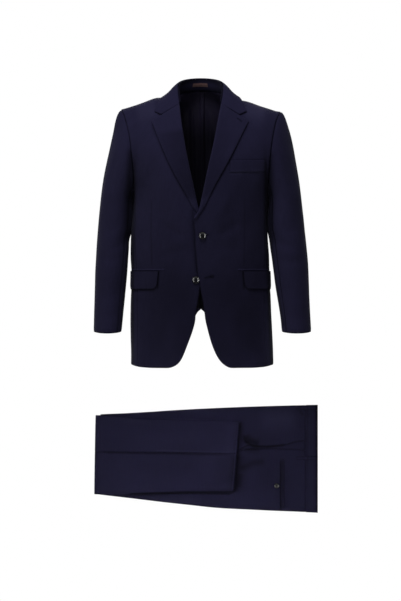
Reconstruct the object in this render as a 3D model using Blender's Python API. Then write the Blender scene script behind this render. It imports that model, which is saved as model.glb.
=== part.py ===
"""A two-piece suit: a two-button jacket, filled out and hollow, above its folded trousers.

Metres, +Z up, the jacket's front towards -Y, the wearer's left at +X. The origin is the
middle of the shoulder line, between the two side-neck points.
"""

import math

import bmesh
import bpy
from mathutils import Vector
from mathutils.bvhtree import BVHTree

# Cloth and seams
BODY_WALL = 0.0020  # interlined wool of the body panels
SLEEVE_WALL = 0.0018
LAPEL_WALL = 0.0024  # two layers and their canvas
COLLAR_WALL = 0.0022
LINING_WALL = 0.0010
SEAM_HALF = 0.0002  # each of two neighbours stands back this far from their seam
ARM_SEAM = 0.0006  # sleeve head outside the armhole
CREASE_ANGLE = math.radians(40)  # sharper edges than this are shaded as edges

# Jacket body
NECK_HALF = 0.075  # side-neck point from the centre
NECK_Z = 0.002
SHOULDER_HALF = 0.220
SHOULDER_SLOPE = 0.333
RIDGE_RISE = 5.87  # curvature of the shoulder line inside the neck, 1/m
SQUARENESS = 2.3  # 2 would be an ellipse seen from above
FRONT_FALL = 0.25  # height over which the front rounds into the shoulder
BACK_FALL = 0.16
FRONT_ROUND = 1.8
BACK_ROUND = 2.0
SHIFT = -0.0022  # the fastened front draws the neck opening this far to the right side
ROLL_INSET = 0.0038  # front panel stands back from the lapel's roll

# Armhole, an egg seen from the side
ARM_TOP = -0.046
ARM_BOTTOM = -0.275
ARM_FRONT = 0.070
ARM_BACK = 0.066
ARM_EGG = 0.15
FRONT_ARM_STEPS = 10  # 15 degrees each, shoulder to side seam
SIDE_ARM_STEPS = 7  # 10 degrees each, along the side panel
BACK_ARM_STEPS = 10  # 14 degrees each, side seam to shoulder

# Side seams, in degrees round the body from the centre front
FRONT_SIDE_HEM, FRONT_SIDE_TOP = 62.0, 74.0
BACK_SIDE_HEM, BACK_SIDE_TOP = 118.0, 111.3
SETTLE_FROM = 0.75  # share of the side seam's height where it starts to meet the armhole
SIDE_HEM_FRONT, SIDE_HEM_BACK = -0.7370, -0.7285
CHEST_LEVEL = -0.270  # front panels' rows turn here from the side seam to the armhole

# Sleeves
CUFF_Z = -0.6490
CUFF_BOW = 0.0060  # the front of the cuff hangs lower
CAP_Z = -0.300  # first full ring below the underarm
SLEEVE_FRONT_SEAM = 9  # armhole samples where the two sleeve pieces meet
SLEEVE_BACK_SEAM = 19
# Rows of the sleeve: up to 1 its head, then down to the cuff at 2
SLEEVE_ROWS = (0.0, 0.07, 0.2, 0.42, 0.7, 1.0, 1.14, 1.3, 1.48, 1.66, 1.84, 2.0)

# Lapels
LAPEL_ROWS = (0, 0.06, 0.11, 0.18, 0.32, 0.44, 0.56, 0.67, 0.78, 0.87, 0.94, 1)
LAPEL_LOW, LAPEL_PUFF = 0.0012, 0.0022  # over the front at the outer edge, and at the roll
ROLL_SINK, ROLL_CREST = -0.0004, 0.0038  # heights of the roll's own edge and of its crest
ROLL_WIDE = 0.0016
ROLL_FROM = 0.12  # share of the lapel above which its edge sinks into the roll
NARROW_LAPEL = 0.020

# Pockets
WELT_WALL, WELT_AIR = 0.0016, 0.0011
WELT_NEAR_X, WELT_SLANT, WELT_FAR_X = 0.0770, 0.0030, 0.1750
WELT_TOP, WELT_DEEP, WELT_RISE = -0.1830, 0.0335, 0.0030
WELT_COLUMNS = 6
FLAP_TOP, FLAP_BOTTOM = -0.4840, -0.5345
FLAP_TOP_X, FLAP_BOTTOM_X = 0.1150, 0.1190  # its front edge
FLAP_LONG, FLAP_END = 0.155, math.radians(88)
FLAP_CORNER, FLAP_CORNER_DEEP = 0.014, 0.8
FLAP_WALL, FLAP_AIR = 0.0020, 0.0010
FLAP_COLUMNS = (0, 0.035, 0.09, 0.2, 0.32, 0.44, 0.56, 0.68, 0.8, 0.9, 1)
FLAP_ROWS = 4

# Buttons and label
BUTTON_WIDE, BUTTON_THICK = 0.0200, 0.0040
BUTTON_SEAT = 0.0007
TOP_BUTTON, LOWER_BUTTON = (0.0040, -0.3880), (-0.0138, -0.5087)
BUTTON_STEPS = 20
BACK_BUTTON_WIDE, BACK_BUTTON_THICK = 0.0140, 0.0030
LABEL_X = (-0.024, -0.013, -0.0025, 0.008, 0.019)
LABEL_ROWS = (0.30, 0.46, 0.62)  # shares of the collar stand's height
LABEL_WALL, LABEL_AIR = 0.0007, 0.0004

# Trousers, folded flat below the jacket
REST_Y = 0.1140  # plane of the underside
THIGH_THICK = 0.0090  # four thigh layers under the uppermost panels
LEG_THICK = 0.0065  # the other folded-back lower leg
TROUSER_WALL = 0.0018
PANEL_AIR = 0.0004
EDGE_DROOP, BAND_DROOP = 0.0007, 0.0003  # how far panel edges bend down over the stack
WAIST_X = 0.2885  # seam between panels and waistband
BAND_WIDE, BAND_WALL = 0.0335, 0.0026
BAND_PROUD = 0.0004  # the waistband is this much longer than the panels at each end
FACING_WALL = 0.0012
FACING_UNDER = 0.004  # the pocket facing runs this far in under the mouth
MOUTH_LIFT = 0.0018
SLOT_X = -0.2800  # the uppermost thigh panels start here, inside the knee fold
KNEE_X = -0.2945  # crease round which both legs are folded
KNEE_AIR = 0.0010
STACK_INSET = 0.0020  # hidden layers stay this far inside the panels over them
STACK_CORNER = 0.005
BACK_WELT_X = (0.2195, 0.2257, 0.2320)
BACK_WELT_Z = (-1.1415, -1.0055)
BACK_BUTTON_X, BACK_BUTTON_Z = 0.2100, -1.0800
LOOP_WALL, LOOP_WIDE = 0.0012, 0.0098
LOOP_SIDE_X, LOOP_SIDE_Z = 0.2650, -1.0080
LOOP_FRONT_X, LOOP_FRONT_Z = 0.2735, -0.8685


def table(text):
    """A short table: a line of column names, then a line of numbers for each row."""
    lines = [line.split() for line in text.strip().splitlines()]
    return {name: [float(row[i]) for row in lines[1:]] for i, name in enumerate(lines[0])}


# Half-width and depths of the body at each height, hem first
BODY = table("""
z       half    front   back
-0.760  0.1950  0.113   0.106
-0.690  0.1945  0.113   0.108
-0.620  0.1910  0.112   0.109
-0.500  0.1900  0.110   0.100
-0.440  0.1880  0.111   0.094
-0.380  0.1865  0.116   0.098
-0.300  0.1860  0.122   0.105
-0.275  0.1870  0.123   0.106
-0.260  0.1910  0.123   0.107
-0.220  0.2120  0.124   0.108
-0.160  0.2380  0.123   0.108
-0.100  0.2720  0.119   0.106
-0.040  0.2950  0.113   0.103
0.060   0.3000  0.108   0.100
""")

# Where the armhole seam lies, from the centre, seen from the front and from the back
ARMHOLE = table("""
z       front   back
-0.275  0.1870  0.1870
-0.257  0.1840  0.1880
-0.203  0.1855  0.1930
-0.138  0.1925  0.1990
-0.100  0.1990  0.2050
-0.062  0.2085  0.2135
-0.046  0.2200  0.2200
""")

# Front edges from the hem to the break, then the lapels' roll lines up to the neck
EDGE = table("""
z        left     right
-0.7470  0.0860  -0.0900
-0.7380  0.0710  -0.0690
-0.7170  0.0520  -0.0545
-0.6900  0.0375  -0.0435
-0.6410  0.0227  -0.0250
-0.5930  0.0100  -0.0120
-0.5340 -0.0010  -0.0030
-0.4920 -0.0040   0.0070
-0.4290 -0.0168   0.0160
-0.3440 -0.0215   0.0140
-0.3330 -0.0105   0.0020
-0.3140 -0.0050  -0.0070
-0.2706  0.0049  -0.0158
-0.2050  0.0182  -0.0306
-0.1390  0.0337  -0.0436
-0.0730  0.0456  -0.0536
-0.0280  0.0543  -0.0587
""")
BREAK_Z = -0.3440
BREAK_TURN = 0.02  # height over which the front's edge turns into the roll

# How far the left front and what is on it stand proud where they lap over the right
OVERLAP = table("""
z       lift
-0.660  0.0000
-0.600  0.0018
-0.530  0.0036
-0.400  0.0052
-0.350  0.0078
-0.300  0.0076
-0.250  0.0030
-0.200  0.0000
""")
OVERLAP_FULL_X, OVERLAP_END_X = 0.030, 0.100

# Rows of the body panels as shares of the side seam's height, hem to armhole
SHARES = (0, 0.012, 0.035, 0.075, 0.13, 0.2, 0.3, 0.41, 0.53, 0.65, 0.76, 0.845, 0.92, 1)

# Centre back against those shares: the seam, and below it the open vent
CENTRE_BACK = table("""
share  z        vent
0.000  -0.7220  0.0620
0.012  -0.7160  0.0590
0.035  -0.7050  0.0550
0.075  -0.6870  0.0470
0.130  -0.6650  0.0380
0.200  -0.6370  0.0270
0.300  -0.5960  0.0115
0.410  -0.5900  0.0000
0.530  -0.5000  0.0000
0.650  -0.4400  0.0000
0.760  -0.3850  0.0000
0.845  -0.3400  0.0000
0.920  -0.3000  0.0000
1.000  -0.2600  0.0000
""")

# Back neck seam from the nape to the side-neck point
NECKLINE = table("""
x      y      z
0.000  0.069  0.0150
0.030  0.062  0.0125
0.055  0.044  0.0080
0.075  0.000  0.0020
""")

# Collar from its front end (0) to the centre back (1): fold, neck seam and outer edge
COLLAR = table("""
along  fold_x  fold_y  fold_z  neck_x  neck_y  neck_z   edge_x  edge_y  edge_z
0.00   0.0560 -0.0535 -0.0280  0.0600 -0.0500 -0.0300   0.1260 -0.0505 -0.0485
0.10   0.0590 -0.0450 -0.0150  0.0640 -0.0420 -0.0200   0.1215 -0.0405 -0.0315
0.22   0.0612 -0.0330  0.0000  0.0690 -0.0270 -0.0075   0.1155 -0.0270 -0.0165
0.36   0.0632 -0.0190  0.0170  0.0722 -0.0130 -0.0010   0.1085 -0.0090 -0.0052
0.50   0.0630 -0.0030  0.0310  0.0735  0.0020  0.0032   0.1040  0.0090 -0.0035
0.65   0.0520  0.0260  0.0405  0.0620  0.0310  0.0090   0.0920  0.0430 -0.0085
0.82   0.0280  0.0490  0.0460  0.0360  0.0560  0.0130   0.0560  0.0790 -0.0060
1.00   0.0000  0.0590  0.0480  0.0000  0.0665  0.0165   0.0000  0.0860  0.0030
""")
NOTCH_X, NOTCH_Z = 0.1060, -0.0578  # inner corner of the notch
COLLAR_TIP_X, COLLAR_TIP_Z = 0.1260, -0.0482
GORGE_HALF = 0.0003  # collar and lapel each stand back this far from their seam
FALL_SEAT = 0.0040  # height of the collar's outer face over the fronts
FALL_BULGE = 0.0045

# Lapel, from the break (0) to the gorge (1): its outer edge, from the centre
LAPEL = table("""
along  left_x   left_z   right_x  right_z
0.00  -0.0130  -0.3430   0.0060  -0.3440
0.06   0.0000  -0.3250  -0.0190  -0.3170
0.18   0.0200  -0.2890  -0.0345  -0.2880
0.32   0.0370  -0.2520  -0.0565  -0.2490
0.50   0.0635  -0.2060  -0.0800  -0.2060
0.72   0.0920  -0.1510  -0.1035  -0.1540
0.90   0.1155  -0.1040  -0.1270  -0.0960
1.00   0.1300  -0.0760  -0.1355  -0.0750
""")

# Sleeve below the underarm: centre and half-sizes of each ring
SLEEVE = table("""
z       out     fore    half_x  half_y
-0.649  0.2590 -0.0400  0.0380  0.0500
-0.597  0.2565 -0.0290  0.0395  0.0530
-0.531  0.2505 -0.0160  0.0425  0.0580
-0.465  0.2455 -0.0070  0.0445  0.0630
-0.399  0.2400  0.0000  0.0460  0.0680
-0.345  0.2345  0.0040  0.0457  0.0710
-0.300  0.2320  0.0050  0.0435  0.0720
""")

# Outline of the folded trousers: top and bottom edges, and those of the leg laid back
TROUSER_EDGE = table("""
x       top      bottom
-0.290  -0.8850  -1.0980
-0.192  -0.8785  -1.1109
-0.114  -0.8720  -1.1220
0.042   -0.8637  -1.1359
0.197   -0.8580  -1.1443
0.322   -0.8550  -1.1520
""")
LEG_EDGE = table("""
x       top      seam     bottom
-0.290  -0.8870  -0.9850  -1.0975
-0.258  -0.8888  -0.9855  -1.1010
-0.111  -0.8935  -0.9870  -1.1017
0.080   -0.9000  -0.9895  -1.1017
0.110   -0.9045  -0.9900  -1.1015
""")
LEG_HEM = table("""
z       x
-1.1050 0.0870
-0.9080 0.1030
-0.8800 0.1050
""")
# Outseam at the hip and the mouth of the slanted pocket
HIP_SEAM = table("""
x       seam     mouth
-0.290  -0.9830  -0.9830
0.107   -0.9820  -0.9820
0.118   -0.9806  -0.9720
0.136   -0.9786  -0.9660
0.167   -0.9776  -0.9716
0.208   -0.9770  -0.9702
0.243   -0.9785  -0.9650
0.2885  -0.9804  -0.9550
""")


def between(a, b, share):
    """The value a share of the way from a to b."""
    return a + (b - a) * share


def smooth(columns, name, at, by="z"):
    """A column read at a place along another column, by a cubic that doesn't overshoot."""
    xs, ys = columns[by], columns[name]
    at = min(max(at, xs[0]), xs[-1])
    i = 0
    while i < len(xs) - 2 and at > xs[i + 1]:
        i += 1
    rise = [(b - a) / (d - c) for a, b, c, d in zip(ys, ys[1:], xs, xs[1:])]

    def slope(k):
        if k == 0 or k == len(rise):
            return rise[min(k, len(rise) - 1)]
        before, after = rise[k - 1], rise[k]
        if before * after <= 0:
            return 0.0
        return 2 * before * after / (before + after)

    width = xs[i + 1] - xs[i]
    t = (at - xs[i]) / width
    return (
        ys[i] * (1 + 2 * t) * (1 - t) ** 2
        + ys[i + 1] * t * t * (3 - 2 * t)
        + width * (slope(i) * t * (1 - t) ** 2 - slope(i + 1) * t * t * (1 - t))
    )


def ramp(value, start, end):
    """0 before start, 1 past end, and a soft step between them."""
    t = min(max((value - start) / (end - start), 0.0), 1.0)
    return t * t * (3 - 2 * t)


def signed_power(value, power):
    """A power that keeps the sign."""
    return math.copysign(abs(value) ** power, value)


# Stacks of hidden trouser layers: height over the underside, and how far each is drawn in
THIGH_LEVELS = table("""
height  inset
0.0000  0.0012
0.0011  0.0000
0.0030  0.0013
0.0049  0.0000
0.0068  0.0013
0.0080  0.0004
0.0090  0.0022
""")
LEG_LEVELS = table("""
height  inset
0.0000  0.0010
0.0012  0.0000
0.0030  0.0012
0.0050  0.0002
0.0065  0.0020
""")


# Materials


def cloth(name, colour, roughness=0.85):
    """A Principled material of one finish."""
    finish = bpy.data.materials.new(name)
    finish.use_nodes = True
    shader = finish.node_tree.nodes["Principled BSDF"]
    shader.inputs["Base Color"].default_value = (*colour, 1)
    shader.inputs["Roughness"].default_value = roughness
    shader.inputs["Metallic"].default_value = 0.0
    finish.diffuse_color = (*colour, 1)
    return finish


# Walls of cloth


def wall(name, grid, ways, thick, finish, closed=False):
    """A named wall: rows of outer points, and the way out at each, carried inwards by thick."""
    rows, columns = len(grid), len(grid[0])
    outer = [p for row in grid for p in row]
    inner = [
        p - way.normalized() * thick
        for row, row_ways in zip(grid, ways)
        for p, way in zip(row, row_ways)
    ]
    count = rows * columns
    faces = []
    for r in range(rows - 1):
        for c in range(columns if closed else columns - 1):
            a, b = r * columns + c, r * columns + (c + 1) % columns
            d, e = a + columns, b + columns
            faces.append((a, b, e, d))
            faces.append((d + count, e + count, b + count, a + count))
    rim = []
    if closed:
        for r in (0, rows - 1):
            ring = [r * columns + c for c in range(columns)] + [r * columns]
            rim.append(ring)
    else:
        low = list(range(columns))
        right = [r * columns + columns - 1 for r in range(1, rows)]
        high = [(rows - 1) * columns + c for c in range(columns - 2, -1, -1)]
        left = [r * columns for r in range(rows - 2, -1, -1)]
        rim.append(low + right + high + left)
    for ring in rim:
        for a, b in zip(ring, ring[1:]):
            faces.append((a, a + count, b + count, b))
    return solid(name, outer + inner, faces, finish)


def solid(name, points, faces, finish):
    """A named closed mesh object with its faces turned out."""
    mesh = bpy.data.meshes.new(name)
    mesh.from_pydata([tuple(p) for p in points], [], faces)
    shape = bmesh.new()
    shape.from_mesh(mesh)
    bmesh.ops.recalc_face_normals(shape, faces=shape.faces)
    shape.to_mesh(mesh)
    shape.free()
    mesh.shade_smooth()
    mesh.set_sharp_from_angle(angle=CREASE_ANGLE)
    mesh.materials.append(finish)
    made = bpy.data.objects.new(name, mesh)
    bpy.context.collection.objects.link(made)
    return made


def turned(ways):
    """The opposite ways."""
    return [[-way for way in line] for line in ways]


def grid_ways(grid, closed=False):
    """The way out of a grid of points, from its own rows and columns."""
    rows, columns = len(grid), len(grid[0])
    ways = []
    for r in range(rows):
        line = []
        for c in range(columns):
            before = grid[r][c - 1] if c or closed else grid[r][c]
            after = grid[r][(c + 1) % columns] if c < columns - 1 or closed else grid[r][c]
            below, above = grid[max(r - 1, 0)][c], grid[min(r + 1, rows - 1)][c]
            line.append((after - before).cross(above - below).normalized())
        ways.append(line)
    return ways


def stand_back(grid, amount=SEAM_HALF, sides="lrbt"):
    """Draws the named edges of a grid in towards its inside: left, right, bottom, top."""
    moved = [[p.copy() for p in row] for row in grid]
    last = len(grid) - 1
    for r, row in enumerate(grid):
        if "l" in sides:
            moved[r][0] += (row[1] - row[0]).normalized() * amount
        if "r" in sides:
            moved[r][-1] += (row[-2] - row[-1]).normalized() * amount
    for c in range(len(grid[0])):
        if "b" in sides:
            moved[0][c] += (grid[1][c] - grid[0][c]).normalized() * amount
        if "t" in sides:
            moved[last][c] += (grid[last - 1][c] - grid[last][c]).normalized() * amount
    return moved


# The form that the body panels are cut to


def ridge(x):
    """Height of the shoulder line, carried up inside the neck."""
    inside = NECK_HALF - abs(x)
    rise = SHOULDER_SLOPE * inside
    return NECK_Z + rise + (RIDGE_RISE * inside * inside if inside > 0 else 0.0)


def body(angle, z):
    """A point on the body's form at an angle from the centre front and a height."""
    half = smooth(BODY, "half", z)
    x = half * signed_power(math.sin(angle), 2 / SQUARENESS)
    behind = math.cos(angle) < 0
    fall, power = (BACK_FALL, BACK_ROUND) if behind else (FRONT_FALL, FRONT_ROUND)
    drop = min(max((ridge(x) - z) / fall, 0.0), 1.0)
    full = (1 - (1 - drop) ** power) ** (1 / power)
    deep = smooth(BODY, "back" if behind else "front", z)
    y = deep * abs(math.cos(angle)) ** (2 / SQUARENESS) * full
    return Vector((x, y if behind else -y, z))


def body_way(angle, z):
    """The way out of the body's form there."""
    across = body(angle + 0.002, z) - body(angle - 0.002, z)
    up = body(angle, z) - body(angle, z - 0.002)
    return across.cross(up).normalized()


def angle_at(x, z, behind=False):
    """The angle at which the form passes over x at a height."""
    share = min(abs(x) / smooth(BODY, "half", z), 1.0) ** (SQUARENESS / 2)
    angle = math.asin(min(share, 1.0))
    return math.copysign(math.pi - angle if behind else angle, x)


def armhole(turn):
    """A point on the left armhole: 0 at the shoulder, then front, underarm and back."""
    z = between(ARM_BOTTOM, ARM_TOP, (1 + math.cos(turn)) / 2)
    ahead = math.sin(turn) >= 0
    reach = ARM_FRONT if ahead else ARM_BACK
    y = -reach * math.sin(turn) * (1 - ARM_EGG * math.cos(turn))
    return Vector((smooth(ARMHOLE, "front" if ahead else "back", z), y, z))


def armhole_samples():
    """The turns at which every panel that meets the armhole has a point."""
    turns = [15.0 * k for k in range(FRONT_ARM_STEPS + 1)]
    turns += [turns[-1] + 10.0 * k for k in range(1, SIDE_ARM_STEPS + 1)]
    turns += [turns[-1] + 14.0 * k for k in range(1, BACK_ARM_STEPS)]
    return [math.radians(t) for t in turns]


TURNS = armhole_samples()
SIDE_TURNS = TURNS[FRONT_ARM_STEPS:FRONT_ARM_STEPS + SIDE_ARM_STEPS + 1]


def side_point(column, share):
    """A point of the left side panel and its angle, by armhole sample and share of height."""
    across = column / SIDE_ARM_STEPS
    top = armhole(SIDE_TURNS[column])
    hem = between(SIDE_HEM_FRONT, SIDE_HEM_BACK, across)

    def place(at):
        front = between(FRONT_SIDE_HEM, FRONT_SIDE_TOP, at * at)
        back = between(BACK_SIDE_HEM, BACK_SIDE_TOP, at * at)
        angle = math.radians(between(front, back, across))
        return body(angle, between(hem, top.z, at)), angle

    settle = max(0.0, (share - SETTLE_FROM) / (1 - SETTLE_FROM)) ** 2
    point, angle = place(share)
    return point + (top - place(1.0)[0]) * settle, angle


def mirrored(grid, side):
    """The grid for the wearer's left (1) or right (-1) side."""
    return [[Vector((side * p.x, p.y, p.z)) for p in row] for row in grid]


def make_side(side, finish):
    """A side panel, from the front side seam round under the arm to the back side seam."""
    grid, ways = [], []
    for share in SHARES:
        points = [side_point(c, share) for c in range(SIDE_ARM_STEPS + 1)]
        grid.append([p for p, _ in points])
        ways.append([body_way(angle, p.z) for p, angle in points])
    name = "side_left" if side > 0 else "side_right"
    grid, ways = mirrored(stand_back(grid), side), mirrored(ways, side)
    return wall(name, grid, ways, BODY_WALL, finish)


def edge_x(side, z):
    """The front edge, or above the break the roll line, signed for its own side."""
    return smooth(EDGE, "left" if side > 0 else "right", z)


def front_inner(side, z):
    """The front panel's inner boundary: front edge, then just outside the lapel's roll."""
    top = EDGE["z"][-1]
    if z > top:
        start = edge_x(side, top) + side * ROLL_INSET
        share = (z - top) / (NECK_Z - top)
        return between(start, side * NECK_HALF, share ** 0.85)
    return edge_x(side, z) + side * ROLL_INSET * ramp(z, BREAK_Z, BREAK_Z + BREAK_TURN)


def lap(side, x, z):
    """How far forward the left front stands where it laps over the right one."""
    if side < 0:
        return 0.0
    return smooth(OVERLAP, "lift", z) * (1 - ramp(x, OVERLAP_FULL_X, OVERLAP_END_X))


FRONT_COLUMNS = 10
FRONT_TURN = 0.4  # share of the armhole over which rows turn from round to straight


def front_rows():
    """For each row of a front: inner height, side or armhole point with its angle, and
    how far the row runs straight rather than round the body."""
    hem = EDGE["z"][0]
    rows = []
    for share in SHARES:
        rows.append((between(hem, CHEST_LEVEL, share), *side_point(0, share), 0.0))
    low = armhole(TURNS[FRONT_ARM_STEPS]).z
    for k in range(FRONT_ARM_STEPS - 1, -1, -1):
        outer = armhole(TURNS[k])
        share = (outer.z - low) / (ARM_TOP - low)
        inner = between(CHEST_LEVEL, NECK_Z, share)
        rows.append((inner, outer, angle_at(outer.x, outer.z), ramp(share, 0, FRONT_TURN)))
    return rows


def make_front(side, finish):
    """A front: hem to shoulder, from the front edge and roll line to the side and armhole.
    Returns its grid of outer points."""
    grid, ways = [], []
    for inner_z, outer, outer_angle, straight in front_rows():
        inner_x = front_inner(side, inner_z) * side
        inner_angle = angle_at(inner_x, inner_z)
        line, line_ways = [], []
        for c in range(FRONT_COLUMNS + 1):
            share = c / FRONT_COLUMNS
            z = between(inner_z, outer.z, share)
            angle = between(inner_angle, outer_angle, share)
            if straight:
                x = between(body(angle, z).x, between(inner_x, outer.x, share), straight)
                angle = angle_at(x, z)
            line.append(body(angle, z))
            line_ways.append(body_way(angle, z))
        miss = outer - line[-1]
        for c, point in enumerate(line):
            point += miss * (c / FRONT_COLUMNS) ** 3
            point.y -= lap(side, point.x, point.z)
        grid.append(line)
        ways.append(line_ways)
    ways[-1] = [Vector((SHOULDER_SLOPE, 0, 1)) for _ in grid[-1]]
    name = "front_left" if side > 0 else "front_right"
    grid = mirrored(stand_back(grid), side)
    wall(name, grid, mirrored(ways, side), BODY_WALL, finish)
    return grid


NECK_COLUMNS, SHOULDER_COLUMNS = 3, 6
BACK_COLUMNS = NECK_COLUMNS + SHOULDER_COLUMNS


def back_top():
    """Points of the back's upper edge: neck seam, then shoulder seam."""
    points = [Vector((NECKLINE["x"][c], NECKLINE["y"][c], NECKLINE["z"][c])) for c in range(3)]
    for c in range(SHOULDER_COLUMNS + 1):
        x = between(NECK_HALF, SHOULDER_HALF, c / SHOULDER_COLUMNS)
        points.append(Vector((x, 0.0, ridge(x))))
    return points


def back_rows():
    """For each row of a back: centre height, half the vent, side or armhole point with its
    angle, and how far up the armhole the row lies."""
    rows = []
    for share in SHARES:
        inner_z = smooth(CENTRE_BACK, "z", share, by="share")
        vent = smooth(CENTRE_BACK, "vent", share, by="share")
        rows.append((inner_z, vent, *side_point(SIDE_ARM_STEPS, share), 0.0))
    first = FRONT_ARM_STEPS + SIDE_ARM_STEPS
    low = armhole(TURNS[first]).z
    for k in range(1, BACK_ARM_STEPS + 1):
        outer = armhole(TURNS[first + k] if k < BACK_ARM_STEPS else math.tau)
        rise = (outer.z - low) / (ARM_TOP - low)
        inner = between(CENTRE_BACK["z"][-1], NECKLINE["z"][0], rise)
        rows.append((inner, 0.0, outer, angle_at(outer.x, outer.z, True), rise))
    return rows


def back_line(row, top):
    """One row of a back's outer points, with the way out at each."""
    inner_z, vent, outer, outer_angle, rise = row
    inner_angle = angle_at(vent, inner_z, True)
    line, ways = [], []
    for c in range(BACK_COLUMNS + 1):
        share = c / BACK_COLUMNS
        level = between(inner_z, outer.z, share)
        z = level + (top[c].z - between(top[0].z, top[-1].z, share)) * rise ** 2
        angle = between(inner_angle, outer_angle, share)
        if rise:
            x = between(body(angle, z).x, top[c].x, rise)
            x = between(x, outer.x * top[c].x / SHOULDER_HALF, rise)
            angle = angle_at(x, z, True)
        line.append(body(angle, z))
        ways.append(body_way(angle, z))
    miss = outer - line[-1]
    for c, point in enumerate(line):
        point += miss * (c / BACK_COLUMNS) ** 3
    return line, ways


def back_grid():
    """Outer points of the left back, with the way out at each."""
    top = back_top()
    rows = back_rows()
    grid, ways = [list(part) for part in zip(*(back_line(row, top) for row in rows))]
    lifts = [goal - made for goal, made in zip(top, grid[-1])]
    for line, (*_, rise) in zip(grid, rows):
        for point, lift in zip(line, lifts):
            point += lift * rise ** 4
    for c in range(BACK_COLUMNS + 1):
        behind = 1 - min(top[c].x / NECK_HALF, 1.0)
        ways[-1][c] = Vector((SHOULDER_SLOPE * (1 - behind), behind, 1))
    return grid, ways


def make_back(side, grid, ways, finish):
    """One back, from the centre seam and vent to the side seam and armhole."""
    name = "back_left" if side > 0 else "back_right"
    grid = mirrored(stand_back(grid), side)
    return wall(name, grid, mirrored(ways, side), BODY_WALL, finish)


LINING_FROM = 7  # first row of the back that the lining covers, above the vent
LINING_COLUMNS = 8
LINING_AIR = 0.0011
LINING_SHORT = 0.0015  # the lining ends this far inside the backs' edges
PLEAT_DEEP = 0.0022
PLEAT = ((-0.002, 0), (-0.001, 1), (0.008, 1), (0.009, 0))  # across, and raised or not


def make_lining(grid, ways, finish):
    """The back lining, inside both backs, with its pleat down the centre."""
    rows, row_ways = [], []
    depth = BODY_WALL + LINING_AIR
    for line, line_ways in zip(grid[LINING_FROM:], ways[LINING_FROM:]):
        half = []
        for c in range(LINING_COLUMNS + 1):
            half.append((line[c] - line_ways[c].normalized() * depth, line_ways[c].normalized()))
        left = half[1:]
        right = [(Vector((-p.x, p.y, p.z)), Vector((-w.x, w.y, w.z))) for p, w in left][::-1]
        middle, way = half[0]
        beside = half[1][0]
        centre = []
        for x, raised in PLEAT:
            point = middle.lerp(beside, abs(x) / beside.x)
            point = Vector((x, point.y, point.z)) - way * (PLEAT_DEEP * raised)
            centre.append((point, way))
        full = right + centre + left
        rows.append([p for p, _ in full])
        row_ways.append([w for _, w in full])
    rows = stand_back(rows, LINING_SHORT)
    return wall("back_lining", rows, row_ways, LINING_WALL, finish)


# Sleeves


def sleeve_ring(z, turn):
    """A point on the sleeve's ring at a height."""
    x = smooth(SLEEVE, "out", z) + smooth(SLEEVE, "half_x", z) * math.cos(turn)
    y = smooth(SLEEVE, "fore", z) - smooth(SLEEVE, "half_y", z) * math.sin(turn)
    return Vector((x, y, z))


HEAD_PULL = 0.08  # how strongly the sleeve's crown swells out from the shoulder
UNDER_PULL = 0.9  # the same at the underarm, as a share of the distance down
RING_STEP = 0.03


def head_point(turn, share):
    """A point of the sleeve's head, from the armhole (0) down to its first full ring (1)."""
    start = armhole(turn) + Vector((ARM_SEAM, 0, 0))
    end = sleeve_ring(CAP_Z, turn)
    crown = (1 + math.cos(turn)) / 2
    away = Vector((0.1 + 0.85 * crown, -0.30 * math.sin(turn), 0.65 * crown - 1)).normalized()
    down = (sleeve_ring(CAP_Z - RING_STEP, turn) - end).normalized()
    span = (end - start).length
    pull = between(span * UNDER_PULL, HEAD_PULL, crown)
    return (
        start * ((1 + 2 * share) * (1 - share) ** 2)
        + end * (share * share * (3 - 2 * share))
        + away * (pull * share * (1 - share) ** 2)
        - down * (span * share * share * (1 - share))
    )


def sleeve_point(turn, row):
    """A point of the left sleeve: rows up to 1 lie in the head, then 1 to 2 runs to the cuff."""
    if row <= 1:
        return head_point(turn, row)
    bow = CUFF_BOW * math.sin(turn) * (row - 1)
    z = between(CAP_Z, CUFF_Z - bow, row - 1)
    point = sleeve_ring(z, turn)
    point.z = z
    return point


def make_sleeve(side, upper, finish):
    """The upper or the under piece of a sleeve, from the armhole to the cuff."""
    count = len(TURNS)
    grid = [[sleeve_point(turn, row) for turn in TURNS] for row in SLEEVE_ROWS]
    ways = turned(grid_ways(grid, closed=True))
    if ways[-1][0].x < 0:
        ways = turned(ways)
    if upper:
        picked = [k % count for k in range(SLEEVE_BACK_SEAM, count + SLEEVE_FRONT_SEAM + 1)]
    else:
        picked = list(range(SLEEVE_FRONT_SEAM, SLEEVE_BACK_SEAM + 1))
    grid = [[line[k] for k in picked] for line in grid]
    ways = [[line[k] for k in picked] for line in ways]
    kind = "upper" if upper else "under"
    name = f"sleeve_{kind}_" + ("left" if side > 0 else "right")
    grid = mirrored(stand_back(grid, sides="lr"), side)
    return wall(name, grid, mirrored(ways, side), SLEEVE_WALL, finish)


# What lies on the fronts


def panel_tree(grid):
    """A search tree over a panel's outer faces."""
    columns = len(grid[0])
    points = [p for row in grid for p in row]
    faces = []
    for r in range(len(grid) - 1):
        for c in range(columns - 1):
            a = r * columns + c
            faces.append((a, a + 1, a + columns + 1))
            faces.append((a, a + columns + 1, a + columns))
    return BVHTree.FromPolygons(points, faces)


def on_front(side, tree, x, z, height):
    """A point over a front at x and z, a height out from the panel's own face."""
    angle = angle_at(x, z)
    form = body(angle, z)
    form.y -= lap(side, x, z)
    hit = tree.ray_cast(Vector((x, -0.4, z)), Vector((0, 1, 0)))[0]
    if hit is not None and hit.y < FRONT_BEHIND:
        form = hit
    return form + body_way(angle, z) * height


FRONT_BEHIND = 0.02  # no point of a front's face lies further back than this


def facing_front(ways):
    """The ways turned so that they look forwards."""
    middle = ways[len(ways) // 2]
    return turned(ways) if middle[len(middle) // 2].y > 0 else ways


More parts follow.
